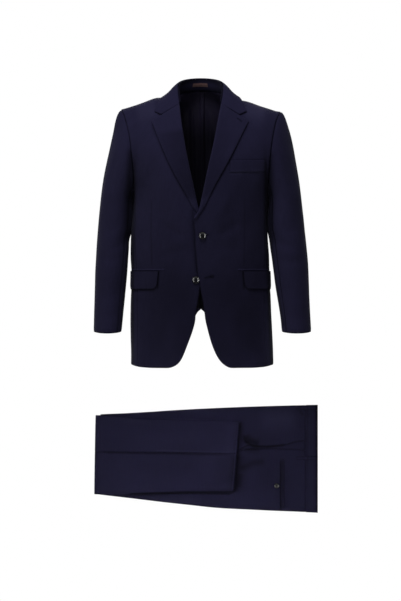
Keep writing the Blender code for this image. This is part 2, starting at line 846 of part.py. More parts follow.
def lapel_stops(along, flat):
    """Distances along a row of the lapel, and heights over the front, roll edge first."""
    sink = ROLL_SINK if along > ROLL_FROM else LAPEL_LOW + LAPEL_WALL
    stops = [(0.0, sink), (min(ROLL_WIDE, flat * 0.3), ROLL_CREST)]
    narrow = flat < NARROW_LAPEL
    for share in (0.42, 0.55, 0.7, 0.85, 1.0) if narrow else (0.1, 0.3, 0.55, 0.8, 1.0):
        puff = LAPEL_PUFF * (1 - share) * (1.2 - along)
        stops.append((max(flat * share, 0.005 * (not narrow)), LAPEL_LOW + LAPEL_WALL + puff))
    return stops


def gorge(side, share):
    """A place on the seam between collar and lapel: 0 at the roll, 1 at the notch."""
    roll = Vector((edge_x(side, EDGE["z"][-1]), EDGE["z"][-1]))
    return roll.lerp(Vector((side * NOTCH_X + SHIFT, NOTCH_Z)), share)


def lapel_top(side, x):
    """Height of the lapel's upper edge: under the collar's seam, then out to its tip."""
    roll, notch = gorge(side, 0), gorge(side, 1)
    share = (x - roll.x) / (notch.x - roll.x)
    if share < 1:
        return gorge(side, share).y - GORGE_HALF
    key = "left" if side > 0 else "right"
    tip_x, tip_z = LAPEL[key + "_x"][-1], LAPEL[key + "_z"][-1]
    return between(notch.y - GORGE_HALF, tip_z, (x - notch.x) / (tip_x - notch.x))


def make_lapel(side, tree, finish):
    """A lapel, turned back over its front from the roll line."""
    key = "left" if side > 0 else "right"
    grid = []
    for along in LAPEL_ROWS:
        roll_z = between(BREAK_Z + 0.002, EDGE["z"][-1] - GORGE_HALF, along)
        roll_x = edge_x(side, roll_z)
        outer_x = smooth(LAPEL, key + "_x", along, by="along")
        outer_z = smooth(LAPEL, key + "_z", along, by="along")
        if along == 0:
            roll_x, roll_z = outer_x - side * 0.007, outer_z + 0.003
        run = Vector((outer_x - roll_x, outer_z - roll_z))
        line = []
        for distance, height in lapel_stops(along, run.length):
            at = run * (distance / run.length)
            x, z = roll_x + at.x, roll_z + at.y
            if along == 1:
                z = lapel_top(side, x)
            line.append(on_front(side, tree, x, z, height))
        grid.append(line)
    return wall("lapel_" + key, grid, facing_front(grid_ways(grid)), LAPEL_WALL, finish)


def make_welt(tree, finish):
    """The breast pocket's welt on the left front, slanting up towards the arm."""
    grid = []
    for share in (0.0, 0.5, 1.0):
        line = []
        near = WELT_NEAR_X + WELT_SLANT * share
        for column in range(WELT_COLUMNS + 1):
            across = column / WELT_COLUMNS
            z = WELT_TOP - WELT_DEEP * (1 - share) + WELT_RISE * across
            x = between(near, WELT_FAR_X, across)
            line.append(on_front(1, tree, x, z, WELT_AIR + WELT_WALL))
        grid.append(line)
    return wall("breast_welt", grid, facing_front(grid_ways(grid)), WELT_WALL, finish)


def flap_cut(share):
    """How far the flap's rounded corners draw its lower edge up."""
    to_end = min(share, 1 - share) * FLAP_LONG
    if to_end >= FLAP_CORNER:
        return 0.0
    rest = FLAP_CORNER - to_end
    return FLAP_CORNER_DEEP * (FLAP_CORNER - math.sqrt(FLAP_CORNER ** 2 - rest ** 2))


def make_flap(side, finish):
    """A hip pocket flap, over the front and round the side, with rounded corners."""
    grid, ways = [], []
    for row in range(FLAP_ROWS + 1):
        down = row / FLAP_ROWS
        line, line_ways = [], []
        for share in FLAP_COLUMNS:
            z = between(FLAP_TOP, FLAP_BOTTOM + flap_cut(share), down)
            first = angle_at(between(FLAP_TOP_X, FLAP_BOTTOM_X, down), z)
            angle = between(first, FLAP_END, share)
            way = body_way(angle, z)
            line.append(body(angle, z) + way * (FLAP_AIR + FLAP_WALL))
            line_ways.append(way)
        grid.append(line)
        ways.append(line_ways)
    name = "flap_left" if side > 0 else "flap_right"
    return wall(name, mirrored(grid, side), mirrored(ways, side), FLAP_WALL, finish)


# Collar


def collar_at(kind, along, side):
    """A point of the collar's fold, neck seam or outer edge on one side."""
    x, y, z = (smooth(COLLAR, f"{kind}_{axis}", along, by="along") for axis in "xyz")
    return Vector((side * x + SHIFT * (1 - along), y, z))


FALL_ALONG = (0, 0.1, 0.22, 0.36, 0.5, 0.65, 0.82)
FALL_DOWN = (0, 0.07, 0.3, 0.55, 0.8, 1)
GORGE_STOPS = (0, 0.13, 0.56, 1)  # shares of the gorge from the roll to the notch


def fall_end(side, tree):
    """The collar's front end: down the gorge to the notch, then out to the collar point."""
    tip = Vector((side * COLLAR_TIP_X + SHIFT / 2, COLLAR_TIP_Z))
    line = []
    for share in GORGE_STOPS:
        x, z = gorge(side, share)
        line.append(on_front(side, tree, x, z + GORGE_HALF, FALL_SEAT if share else ROLL_SINK))
    for share in (0.5, 1.0):
        x, z = gorge(side, 1).lerp(tip, share)
        line.append(on_front(side, tree, x, z, FALL_SEAT))
    return line


def round_neck(stops, line_at):
    """Lines of a collar piece from its right front round the back to its left front, as
    rows of points, with the way out at each."""
    lines = [line_at(along, -1) for along in stops]
    lines.append(line_at(1.0, -1))
    lines += [line_at(along, 1) for along in stops[::-1]]
    grid = [list(row) for row in zip(*lines)]
    ways = grid_ways(grid)
    if ways[len(grid) // 2][len(stops)].y < 0:
        ways = turned(ways)
    return grid, ways


def make_fall(trees, finish):
    """The turned-down collar, from one collar point round the neck to the other."""
    def line_at(along, side):
        return fall_line(along, side) if along else fall_end(side, trees[side])

    grid, ways = round_neck(FALL_ALONG, line_at)
    return wall("collar_fall", grid, ways, COLLAR_WALL, finish)


def fall_line(along, side):
    """One line of the collar from its fold to its outer edge, bulging out a little."""
    fold, edge = collar_at("fold", along, side), collar_at("edge", along, side)
    out = Vector((fold.x, max(fold.y, -0.02) + 0.02, 0.03)).normalized()
    line = []
    for share in FALL_DOWN:
        bulge = FALL_BULGE * math.sin(math.pi * min(share * 1.6 + 0.06, 1.0)) if share else 0.0
        line.append(fold.lerp(edge, share) + out * bulge)
    return line


STAND_ALONG = (0.06, 0.14, 0.22, 0.36, 0.5, 0.65, 0.82)
STAND_ROWS = (0.03, 0.5, 0.95)
STAND_INSIDE = 0.0035  # the stand lies this far inside the fall


def make_stand(finish):
    """The collar stand: the upright band inside, from the neck seam up to the fold.
    Returns its grid and ways."""
    grid, ways = round_neck(STAND_ALONG, stand_line)
    wall("collar_stand", grid, ways, COLLAR_WALL, finish)
    return grid, ways


def stand_line(along, side):
    """One line of the stand from the neck seam to just under the fold."""
    neck, fold = collar_at("neck", along, side), collar_at("fold", along, side)
    inward = Vector((-fold.x, -max(fold.y, 0.0), 0)).normalized() * STAND_INSIDE
    return [neck.lerp(fold, share) + inward for share in STAND_ROWS]


def make_label(stand, ways, finish):
    """The bare woven label on the stand's inner side at the centre back."""
    centre = len(STAND_ALONG)
    grid, out = [], []
    for share in LABEL_ROWS:
        line, line_out = [], []
        for x in LABEL_X:
            column = centre - 1 if x < 0 else centre
            a, b = stand[0][column], stand[0][column + 1]
            c, d = stand[2][column], stand[2][column + 1]
            at = (x - a.x) / (b.x - a.x)
            point = a.lerp(b, at).lerp(c.lerp(d, at), share)
            way = ways[1][column].lerp(ways[1][column + 1], at).normalized()
            line.append(point - way * (COLLAR_WALL + LABEL_AIR))
            line_out.append(way)
        grid.append(line)
        out.append(line_out)
    return wall("label", grid, out, LABEL_WALL, finish)


# Buttons


def make_button(name, centre, way, wide, thick, finish):
    """A turned button with a raised rim and a dished middle, facing along way."""
    half = wide / 2
    profile = (
        (0.0, 0.0),
        (half * 0.80, 0.0),
        (half * 0.97, thick * 0.30),
        (half, thick * 0.62),
        (half * 0.90, thick),
        (half * 0.72, thick * 0.92),
        (half * 0.60, thick * 0.62),
        (0.0, thick * 0.55),
    )
    shape = bmesh.new()
    points = [shape.verts.new((r, 0, h)) for r, h in profile]
    edges = [shape.edges.new(pair) for pair in zip(points, points[1:])]
    bmesh.ops.spin(
        shape, geom=points + edges, axis=(0, 0, 1), cent=(0, 0, 0),
        angle=math.tau, steps=BUTTON_STEPS, use_merge=True,
    )
    bmesh.ops.remove_doubles(shape, verts=shape.verts, dist=1e-6)
    bmesh.ops.recalc_face_normals(shape, faces=shape.faces)
    mesh = bpy.data.meshes.new(name)
    shape.to_mesh(mesh)
    shape.free()
    mesh.shade_smooth()
    mesh.set_sharp_from_angle(angle=CREASE_ANGLE)
    mesh.materials.append(finish)
    made = bpy.data.objects.new(name, mesh)
    made.location = centre
    made.rotation_euler = Vector(way).to_track_quat("Z", "Y").to_euler()
    bpy.context.collection.objects.link(made)
    return made


# Trousers


def trouser_edge(name, x):
    """Height of the folded trousers' top or bottom edge at x."""
    return smooth(TROUSER_EDGE, name, x, by="x")


def rounded_outline(left, right, top, bottom, corner, steps):
    """Points round a four-sided outline with rounded corners, given its edge functions."""
    stops = [left + (right - left) * k / steps for k in range(steps + 1)]
    upper = [(x, top(x)) for x in stops]
    lower = [(x, bottom(x)) for x in reversed(stops)]
    points = []
    for line in (upper, lower):
        (x0, z0), (x1, z1) = line[0], line[-1]
        inward = -1 if line is upper else 1
        ahead = 1 if x1 > x0 else -1
        points.append((x0, z0 + inward * corner))
        points.append((x0 + ahead * corner * 0.3, z0 + inward * corner * 0.3))
        points.extend([(x0 + ahead * corner, z0), *line[1:-1], (x1 - ahead * corner, z1)])
        points.append((x1 - ahead * corner * 0.3, z1 + inward * corner * 0.3))
        points.append((x1, z1 + inward * corner))
    return points


def inset(outline, amount):
    """The outline drawn in by an amount along each point's own way in."""
    count = len(outline)
    moved = []
    for k, (x, z) in enumerate(outline):
        ax, az = outline[k - 1]
        bx, bz = outline[(k + 1) % count]
        way = Vector((-(bz - az), bx - ax)).normalized()
        moved.append((x - way.x * amount, z - way.y * amount))
    return moved


PANEL_Y = REST_Y - THIGH_THICK - PANEL_AIR  # inner face of the uppermost thigh panels
LEG_Y = PANEL_Y - TROUSER_WALL - PANEL_AIR  # underside of the lower leg laid back on them
LEG_TOP = LEG_Y - LEG_THICK - PANEL_AIR - TROUSER_WALL  # outer face of the uppermost leg
KNEE_RADIUS = (REST_Y - LEG_TOP) / 2
KNEE_CENTRE = Vector((KNEE_X + KNEE_RADIUS, LEG_TOP + KNEE_RADIUS))


def leg_edge(name, x):
    """Height of the laid-back leg's top edge, outseam or bottom edge at x."""
    return smooth(LEG_EDGE, name, x, by="x")


def leg_hem(z):
    """Where the laid-back leg's hem lies at a height."""
    return smooth(LEG_HEM, "x", z)


def knee_left(y):
    """How far left the hidden layers reach at a depth, inside the fold's round."""
    radius = KNEE_RADIUS - TROUSER_WALL - KNEE_AIR
    off = y - KNEE_CENTRE.y
    return KNEE_CENTRE.x + KNEE_AIR - math.sqrt(max(radius * radius - off * off, 0.0))


def layered(name, levels, base, right, top, bottom, steps, finish):
    """A stack of cloth between edge functions: levels give each height and how far it is
    drawn in, so that the layers show along the edges."""
    points, faces = [], []
    for height, amount in zip(levels["height"], levels["inset"]):
        y = base - height
        outline = rounded_outline(knee_left(y), right, top, bottom, STACK_CORNER, steps)
        points += [Vector((x, y, z)) for x, z in inset(outline, amount)]
    last = len(levels["height"]) - 1
    count = len(points) // (last + 1)
    for level in range(last):
        for k in range(count):
            a, b = level * count + k, level * count + (k + 1) % count
            faces.append((a, b, b + count, a + count))
    faces.append(tuple(reversed(range(count))))
    faces.append(tuple(range(last * count, (last + 1) * count)))
    return solid(name, points, faces, finish)


def join(target, tool):
    """Makes a second solid part of the first."""
    union = target.modifiers.new("join", "BOOLEAN")
    union.operation = "UNION"
    union.solver = "EXACT"
    union.object = tool
    tool.hide_render = True
    tool.display_type = "WIRE"


def make_layers(finish):
    """The hidden layers as one rounded solid: the thighs, and the lower legs laid back over
    them, joined round the knee, with a slot between for the uppermost thigh panels."""
    thighs = layered(
        "trouser_layers", THIGH_LEVELS, REST_Y, WAIST_X + BAND_WIDE - STACK_INSET,
        lambda x: trouser_edge("top", x) - STACK_INSET,
        lambda x: trouser_edge("bottom", x) + STACK_INSET, 12, finish,
    )
    legs = layered(
        "laid_back_layers", LEG_LEVELS, LEG_Y, LEG_HEM["x"][0] - STACK_INSET,
        lambda x: leg_edge("top", x) - STACK_INSET,
        lambda x: leg_edge("bottom", x) + STACK_INSET, 8, finish,
    )
    join(thighs, legs)
    join(thighs, knee_core(finish))


KNEE_CORE_Z = (-1.0900, -0.8950)
KNEE_CORE_DEEP = 0.004  # how far it runs into the stacks it joins


def knee_core(finish):
    """The block that joins the thighs to the lower legs inside the knee's round."""
    depths = (LEG_Y - KNEE_CORE_DEEP, REST_Y - KNEE_CORE_DEEP)
    sides = (KNEE_X + 0.0060, SLOT_X - 0.0006)
    points = [Vector((x, y, z)) for x in sides for y in depths for z in KNEE_CORE_Z]
    faces = [(0, 1, 3, 2), (4, 6, 7, 5), (0, 4, 5, 1), (2, 3, 7, 6), (0, 2, 6, 4), (1, 5, 7, 3)]
    return solid("knee_core", points, faces, finish)


LAY_SHARES = (0, 0.012, 0.05, 0.2, 0.4, 0.6, 0.8, 0.95, 0.988, 1)
LAY_TURN = 0.05  # share of a panel's width over which its edge bends down
LAY_TILT = 0.6


def edge_turn(share, droop):
    """How far a laid panel has sunk at a share of its width, and which way its face tilts."""
    at_low = max(0.0, 1 - share / LAY_TURN) ** 1.5
    at_high = max(0.0, 1 - (1 - share) / LAY_TURN) ** 1.5
    tilt = (LAY_TILT * at_high if droop[1] else 0.0) - (LAY_TILT * at_low if droop[0] else 0.0)
    return droop[0] * at_low + droop[1] * at_high, tilt


def lay(name, stations, low, high, droop, finish, plane=PANEL_Y, thick=TROUSER_WALL, lift=None):
    """A cloth panel laid flat, facing -Y, between two edge functions of x, with a column at
    each station. droop bends its low and high edges down over what it lies on, and lift
    raises its low edge."""
    grid, ways = [], []
    for share in LAY_SHARES:
        sink, tilt = edge_turn(share, droop)
        line = []
        for x in stations:
            raised = lift(x) * (1 - ramp(share, 0.05, 0.3)) if lift else 0.0
            z = between(low(x), high(x), share)
            line.append(Vector((x, plane - thick + sink - raised, z)))
        grid.append(line)
        ways.append([Vector((0, -1, tilt))] * len(line))
    return wall(name, grid, ways, thick, finish)


KNEE_TURNS = [math.radians(90 + 30 * k) for k in range(7)]
LEG_STATIONS = (-0.258, -0.200, -0.111, -0.040, 0.030, 0.080, 0.0870)


def lay_leg(name, low, high, droop, finish):
    """Half of the uppermost leg: from under the knee, round its fold and flat to the hem."""
    knee = KNEE_CENTRE.x
    grid, ways = [], []
    for share in LAY_SHARES:
        sink, tilt = edge_turn(share, droop)
        line, line_ways = [], []
        for turn in KNEE_TURNS:
            out = Vector((math.cos(turn), math.sin(turn)))
            x, y = KNEE_CENTRE + out * (KNEE_RADIUS - sink)
            line.append(Vector((x, y, between(low(knee), high(knee), share))))
            line_ways.append(Vector((out.x, out.y, tilt)))
        for station in LEG_STATIONS:
            z = between(low(station), high(station), share)
            reach = (leg_hem(z) - knee) / (LEG_STATIONS[-1] - knee)
            line.append(Vector((knee + (station - knee) * reach, LEG_TOP + sink, z)))
            line_ways.append(Vector((0, -1, tilt)))
        grid.append(line)
        ways.append(line_ways)
    return wall(name, grid, ways, TROUSER_WALL, finish)


HIP_STATIONS = (SLOT_X, -0.192, -0.114, -0.030, 0.042, 0.095, 0.107, 0.112, 0.118, 0.136, 0.167,
                0.208, 0.243, WAIST_X - SEAM_HALF)
FACING_FROM = 0.110


def hip_seam(x):
    """Height of the outseam at the hip."""
    return smooth(HIP_SEAM, "seam", x, by="x")


def hip_mouth(x):
    """Height of the slanted pocket's mouth, which meets the outseam below the pocket."""
    return smooth(HIP_SEAM, "mouth", x, by="x")


def mouth_lift(x):
    """How far the front panel stands off over the pocket facing."""
    return MOUTH_LIFT * ramp(x, 0.098, 0.112)


def make_trousers(finish, horn):
    """The folded trousers' visible pieces."""
    gap = SEAM_HALF
    lay("hip_front", HIP_STATIONS, lambda x: hip_mouth(x) + gap,
        lambda x: trouser_edge("top", x), (0, EDGE_DROOP), finish, lift=mouth_lift)
    lay("hip_back", HIP_STATIONS, lambda x: trouser_edge("bottom", x),
        lambda x: hip_seam(x) - gap, (EDGE_DROOP, 0), finish)
    facing = [x for x in HIP_STATIONS if x > FACING_FROM]
    lay("pocket_facing", facing, lambda x: hip_seam(x) + gap,
        lambda x: hip_mouth(x) + FACING_UNDER * ramp(x, 0.10, 0.2), (0, 0), finish,
        thick=FACING_WALL)
    band = [WAIST_X + share * BAND_WIDE for share in (gap / BAND_WIDE, 0.3, 0.7, 1)]
    lay("waistband", band, lambda x: trouser_edge("bottom", x) - BAND_PROUD,
        lambda x: trouser_edge("top", x) + BAND_PROUD, (BAND_DROOP, BAND_DROOP), finish,
        thick=BAND_WALL)
    lay_leg("leg_front", lambda x: leg_edge("seam", x) + gap, lambda x: leg_edge("top", x),
            (0, EDGE_DROOP), finish)
    lay_leg("leg_back", lambda x: leg_edge("bottom", x), lambda x: leg_edge("seam", x) - gap,
            (EDGE_DROOP, 0), finish)
    face = PANEL_Y - TROUSER_WALL - PANEL_AIR
    lay("back_pocket_welt", BACK_WELT_X, lambda x: BACK_WELT_Z[0], lambda x: BACK_WELT_Z[1],
        (0, 0), finish, plane=face, thick=FACING_WALL)
    make_loop("loop_side", LOOP_SIDE_X, LOOP_SIDE_Z, finish)
    make_loop("loop_front", LOOP_FRONT_X, LOOP_FRONT_Z, finish)
    make_button("back_pocket_button", (BACK_BUTTON_X, face, BACK_BUTTON_Z), (0, -1, 0),
                BACK_BUTTON_WIDE, BACK_BUTTON_THICK, horn)


# A belt loop's profile: along from the waistband seam, and height over the waistband
LOOP_PROFILE = table("""
along   height
-0.0040 -0.0002
0.0060  0.0022
0.0200  0.0026
0.0290  0.0008
0.0335  0.0004
""")
LOOP_TAB = 0.008


def make_loop(name, start, low, finish):
    """A belt loop over the waistband, its ends held to the hip and at the band's top."""
    base = PANEL_Y - TROUSER_WALL - PANEL_AIR
    band = PANEL_Y - BAND_WALL - PANEL_AIR
    profile = [(start, base), (start + LOOP_TAB, base)]
    for along, height in zip(LOOP_PROFILE["along"], LOOP_PROFILE["height"]):
        profile.append((WAIST_X + along, band - height))
    grid = [[Vector((x, y - LOOP_WALL, z)) for x, y in profile] for z in (low, low + LOOP_WIDE)]
    ways = [[Vector((0, -1, 0))] * len(profile)] * len(grid)
    return wall(name, grid, ways, LOOP_WALL, finish)


def make_jacket_button(name, side, tree, place, finish):
    """A front button, seated on its front's own face."""
    x, z = place
    way = body_way(angle_at(x, z), z)
    seat = on_front(side, tree, x, z, BUTTON_SEAT)
    make_button(name, seat, way, BUTTON_WIDE, BUTTON_THICK, finish)


def main():
    """Builds the jacket and the trousers."""
    for old in list(bpy.data.objects):
        bpy.data.objects.remove(old, do_unlink=True)
    wool = cloth("navy_wool", (0.012, 0.012, 0.030))
    lining = cloth("dark_lining", (0.006, 0.006, 0.010), 0.4)
    horn = cloth("dark_horn", (0.010, 0.010, 0.014), 0.25)
    woven = cloth("bare_label", (0.16, 0.06, 0.04), 0.6)
    trees = {}
    for side in (1, -1):
        trees[side] = panel_tree(make_front(side, wool))
        make_side(side, wool)
        make_lapel(side, trees[side], wool)
        make_flap(side, wool)
        make_sleeve(side, True, wool)
        make_sleeve(side, False, wool)
    grid, ways = back_grid()
    for side in (1, -1):
        make_back(side, grid, ways, wool)
    make_lining(grid, ways, lining)
    make_fall(trees, wool)
    stand, stand_ways = make_stand(wool)
    make_label(stand, stand_ways, woven)
    make_welt(trees[1], wool)
    make_jacket_button("button_top", 1, trees[1], TOP_BUTTON, horn)
    make_jacket_button("button_lower", -1, trees[-1], LOWER_BUTTON, horn)
    make_layers(wool)
    make_trousers(wool, horn)


main()
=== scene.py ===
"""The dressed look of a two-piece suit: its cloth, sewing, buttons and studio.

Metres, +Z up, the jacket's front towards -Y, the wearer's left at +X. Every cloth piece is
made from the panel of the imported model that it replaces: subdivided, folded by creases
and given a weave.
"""

import logging
import math
from dataclasses import dataclass, field
from enum import Enum
from functools import partial
from typing import Any, Callable, Optional, Sequence

import bmesh
import bpy
import numpy as np
from bpy.types import Material, Mesh, Node, NodeSocket, NodeTree, Object
from mathutils import Matrix, Vector
from mathutils.bvhtree import BVHTree
from mathutils.kdtree import KDTree


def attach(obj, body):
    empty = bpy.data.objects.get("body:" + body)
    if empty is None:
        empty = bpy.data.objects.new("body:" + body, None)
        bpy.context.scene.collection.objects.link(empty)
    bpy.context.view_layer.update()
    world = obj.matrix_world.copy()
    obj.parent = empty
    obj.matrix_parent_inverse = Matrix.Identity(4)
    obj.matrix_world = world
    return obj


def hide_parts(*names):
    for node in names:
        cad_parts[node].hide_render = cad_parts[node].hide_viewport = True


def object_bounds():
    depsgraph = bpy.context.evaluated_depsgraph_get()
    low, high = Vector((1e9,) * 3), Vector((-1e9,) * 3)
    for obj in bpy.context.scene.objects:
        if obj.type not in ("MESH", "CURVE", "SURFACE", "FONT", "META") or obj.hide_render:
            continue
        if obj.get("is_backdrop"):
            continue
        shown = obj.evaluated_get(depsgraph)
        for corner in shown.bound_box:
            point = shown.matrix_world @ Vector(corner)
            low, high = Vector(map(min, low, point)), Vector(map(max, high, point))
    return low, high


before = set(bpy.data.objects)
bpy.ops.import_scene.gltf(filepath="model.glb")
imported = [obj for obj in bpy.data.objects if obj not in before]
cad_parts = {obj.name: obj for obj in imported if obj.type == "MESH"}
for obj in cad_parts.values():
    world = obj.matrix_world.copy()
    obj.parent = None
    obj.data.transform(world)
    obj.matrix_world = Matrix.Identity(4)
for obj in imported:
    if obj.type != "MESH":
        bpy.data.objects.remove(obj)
CAD_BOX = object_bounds()

logging.basicConfig(level=logging.INFO, format="%(message)s")
log = logging.getLogger("suit")

BODY = "root"
WEAVE_MAP = "weave"
# The point attribute of painted shade and painted light, with seams and wear.
PAINTED_LIGHT_SEAMS_AND_WEAR = "edge_tone"
STITCH_WAY = "stitch_way"

# The trousers' flat underside, and the uppermost face of the laid-back leg.
REST_Y = 0.1140
LEG_TOP_Y = 0.0937

Points = np.ndarray
Faces = list[tuple[int, ...]]
Flat = tuple[float, float]
Triple = tuple[float, float, float]
Pieces = dict[str, Object]
Field = Callable[[Points], Points]


class Side(Enum):
    """A side of the wearer, as the sign of X."""

    LEFT = 1
    RIGHT = -1

    @property
    def word(self) -> str:
        """The side's name at the end of a node's name."""
        return self.name.lower()


class Slot(Enum):
    """The record's material slots."""

    WOOL = "wool"
    LINING = "lining"
    HORN = "horn"
    LABEL = "label"


class Held(Enum):
    """How a piece of cloth is held."""

    HUNG = "hung"
    FOLDED = "folded"
    LAID = "laid"


class Ribs(Enum):
    """Which way ribs follow each other, with how fast the wave pattern turns that way."""

    ACROSS = ("X", 20.0)
    DOWN = ("Y", 20.0)
    DIAGONAL = ("DIAGONAL", 14.142)


def add_node(tree: NodeTree, kind: str, inputs: Optional[dict] = None, **settings: Any) -> Node:
    """Adds a node to a tree.

    Args:
        tree: The tree.
        kind: The node's type.
        inputs: A value, or an output socket to link, for each input by name or number.
        settings: The node's own properties.

    Returns:
        The new node.
    """
    node = tree.nodes.new(kind)
    for key, value in settings.items():
        setattr(node, key, value)
    for key, value in (inputs or {}).items():
        if isinstance(value, NodeSocket):
            tree.links.new(value, node.inputs[key])
        else:
            node.inputs[key].default_value = value
    return node


# Finishes


class Recipe:
    """A material's node tree, built a node at a time."""

    def __init__(self, name: str) -> None:
        """Starts an empty tree.

        Args:
            name: The material's name.
        """
        self.material = bpy.data.materials.new(name)
        self.material.use_nodes = True
        self.tree = self.material.node_tree
        self.tree.nodes.clear()

    def add(self, kind: str, inputs: Optional[dict] = None, **settings: Any) -> Node:
        """Adds a shader node, whose type is given without its ShaderNode prefix."""
        return add_node(self.tree, "ShaderNode" + kind, inputs, **settings)

    def weave(self) -> NodeSocket:
        """The piece's own weave map."""
        return self.add("UVMap", uv_map=WEAVE_MAP).outputs[0]

    def place(self) -> NodeSocket:
        """Places in the piece's own frame."""
        return self.add("TexCoord").outputs["Object"]

    def mapped(self, where: Any, turn: Sequence[float] = (0, 0, 0),
               scale: Sequence[float] = (1, 1, 1)) -> NodeSocket:
        """Places turned by angles and scaled."""
        inputs = {"Vector": where, "Rotation": turn, "Scale": scale}
        return self.add("Mapping", inputs).outputs[0]

    def maths(self, operation: str, *values: Any) -> NodeSocket:
        """A Math node on up to three numbers or sockets."""
        return self.add("Math", dict(enumerate(values)), operation=operation).outputs[0]

    def line(self, value: Any, slope: float, start: Any) -> NodeSocket:
        """A value times a slope, on top of a start."""
        return self.maths("MULTIPLY_ADD", value, slope, start)

    def blend(self, share: Any, low: Any, high: Any) -> NodeSocket:
        """A colour mixed from two by a share."""
        node = self.add("Mix", {0: share, 6: low, 7: high}, data_type="RGBA")
        return node.outputs[2]

    def noise(self, where: Any, scale: float, detail: float = 2.0) -> NodeSocket:
        """A noise value between 0 and 1."""
        inputs = {"Vector": where, "Scale": scale, "Detail": detail}
        return self.add("TexNoise", inputs).outputs[0]

    def ribs(self, where: Any, pitch: float, follow: Ribs, bend: float) -> NodeSocket:
        """Parallel ribs.

        Args:
            where: The places that they lie over, in metres.
            pitch: From one rib to the next, in metres.
            follow: Which way they follow each other.
            bend: How much they waver.

        Returns:
            A value between 0 and 1.
        """
        direction, turn = follow.value
        inputs = {
            "Vector": where, "Scale": math.tau / (turn * pitch), "Distortion": bend,
            "Detail": 1.0, "Detail Scale": 1.5,
        }
        node = self.add("TexWave", inputs, wave_type="BANDS", bands_direction=direction)
        return node.outputs[1]

    def finish(self, shader: dict, height: Any, depth: float, strength: float) -> Material:
        """Closes the tree with a Principled shader and a bump.

        Args:
            shader: The shader's inputs.
            height: The socket that the bump follows.
            depth: The bump's depth in metres.
            strength: The bump's strength.

        Returns:
            The finished material.
        """
        bump = self.add("Bump", {"Height": height, "Distance": depth, "Strength": strength})
        inputs = {"Normal": bump.outputs[0], **shader}
        principled = self.add("BsdfPrincipled", inputs)
        self.add("OutputMaterial", {0: principled.outputs[0]})
        return self.material


Colour = tuple[float, float, float, float]


@dataclass(frozen=True)
class Worsted:
    """Fine navy worsted: steep twill, short nap, yarn that varies in tone, painted shade and light.
    """

    name: str = "navy_worsted"
    ground: Colour = (0.0046, 0.0042, 0.0112, 1)
    yarn: Colour = (0.0092, 0.0084, 0.0222, 1)
    # The pale colour of worn edges and painted light, and the dark one of seams and painted shade.
    worn: Colour = (0.0210, 0.0200, 0.0420, 1)
    seam: Colour = (0.0010, 0.0009, 0.0026, 1)
    twill_pitch: float = 0.00085
    twill_turn: float = 18.0
    yarn_pitch: float = 0.00045
    nap_scale: float = 1400.0
    slub_scale: Triple = (260.0, 30.0, 1.0)
    drift_scale: float = 9.0
    # How much of the relief twill, yarn and nap each make.
    relief: Triple = (0.6, 0.3, 0.5)
    # How much of the tone twill, slubs and drift each make, and what is taken off it.
    tone: tuple[float, float, float, float] = (0.28, 0.45, 0.55, 0.14)
    rough: float = 0.68
    rougher: float = 0.18
    specular: float = 0.05
    sheen: float = 0.03
    sheen_rough: float = 0.45
    sheen_tint: Colour = (0.55, 0.55, 0.85, 1)
    depth: float = 0.00012
    bump: float = 0.35

    def material(self) -> Material:
        """Builds the finish.

        Returns:
            The material.
        """
        mix = Recipe(self.name)
        weave, place = mix.weave(), mix.place()
        steep = mix.mapped(weave, turn=(0, 0, math.radians(self.twill_turn)))
        twill = mix.ribs(steep, self.twill_pitch, Ribs.DIAGONAL, 0.6)
        warp = mix.ribs(weave, self.yarn_pitch, Ribs.ACROSS, 0.3)
        weft = mix.ribs(weave, self.yarn_pitch, Ribs.DOWN, 0.3)
        nap = mix.noise(weave, self.nap_scale, 3.0)
        slub = mix.noise(mix.mapped(weave, scale=self.slub_scale), 1.0)
        drift = mix.noise(place, self.drift_scale)
        by_twill, by_yarn, by_nap = self.relief
        cross = mix.maths("MULTIPLY", warp, weft)
        height = mix.line(twill, by_twill, mix.maths("MULTIPLY", cross, by_yarn))
        height = mix.line(nap, by_nap, height)
        by_twill, by_slub, by_drift, less = self.tone
        tone = mix.line(twill, by_twill, mix.maths("MULTIPLY", slub, by_slub))
        tone = mix.maths("SUBTRACT", mix.line(drift, by_drift, tone), less)
        colour = mix.blend(tone, self.ground, self.yarn)
        # Below 0 the attribute darkens the cloth with painted shade along cut edges and marks;
        # above 0 it lightens it with painted light and wear.
        edge = mix.add("Attribute", attribute_name=PAINTED_LIGHT_SEAMS_AND_WEAR).outputs["Fac"]
        fray_and_painted_light = mix.maths("MULTIPLY", mix.maths("MAXIMUM", edge, 0.0), nap)
        colour = mix.blend(fray_and_painted_light, colour, self.worn)
        shade = mix.maths("MULTIPLY", mix.maths("MINIMUM", edge, 0.0), -1.0)
        colour = mix.blend(shade, colour, self.seam)
        shader = {
            "Base Color": colour, "Roughness": mix.line(nap, self.rougher, self.rough),
            "Specular IOR Level": self.specular, "Sheen Weight": self.sheen,
            "Sheen Roughness": self.sheen_rough, "Sheen Tint": self.sheen_tint,
        }
        return mix.finish(shader, height, self.depth, self.bump)


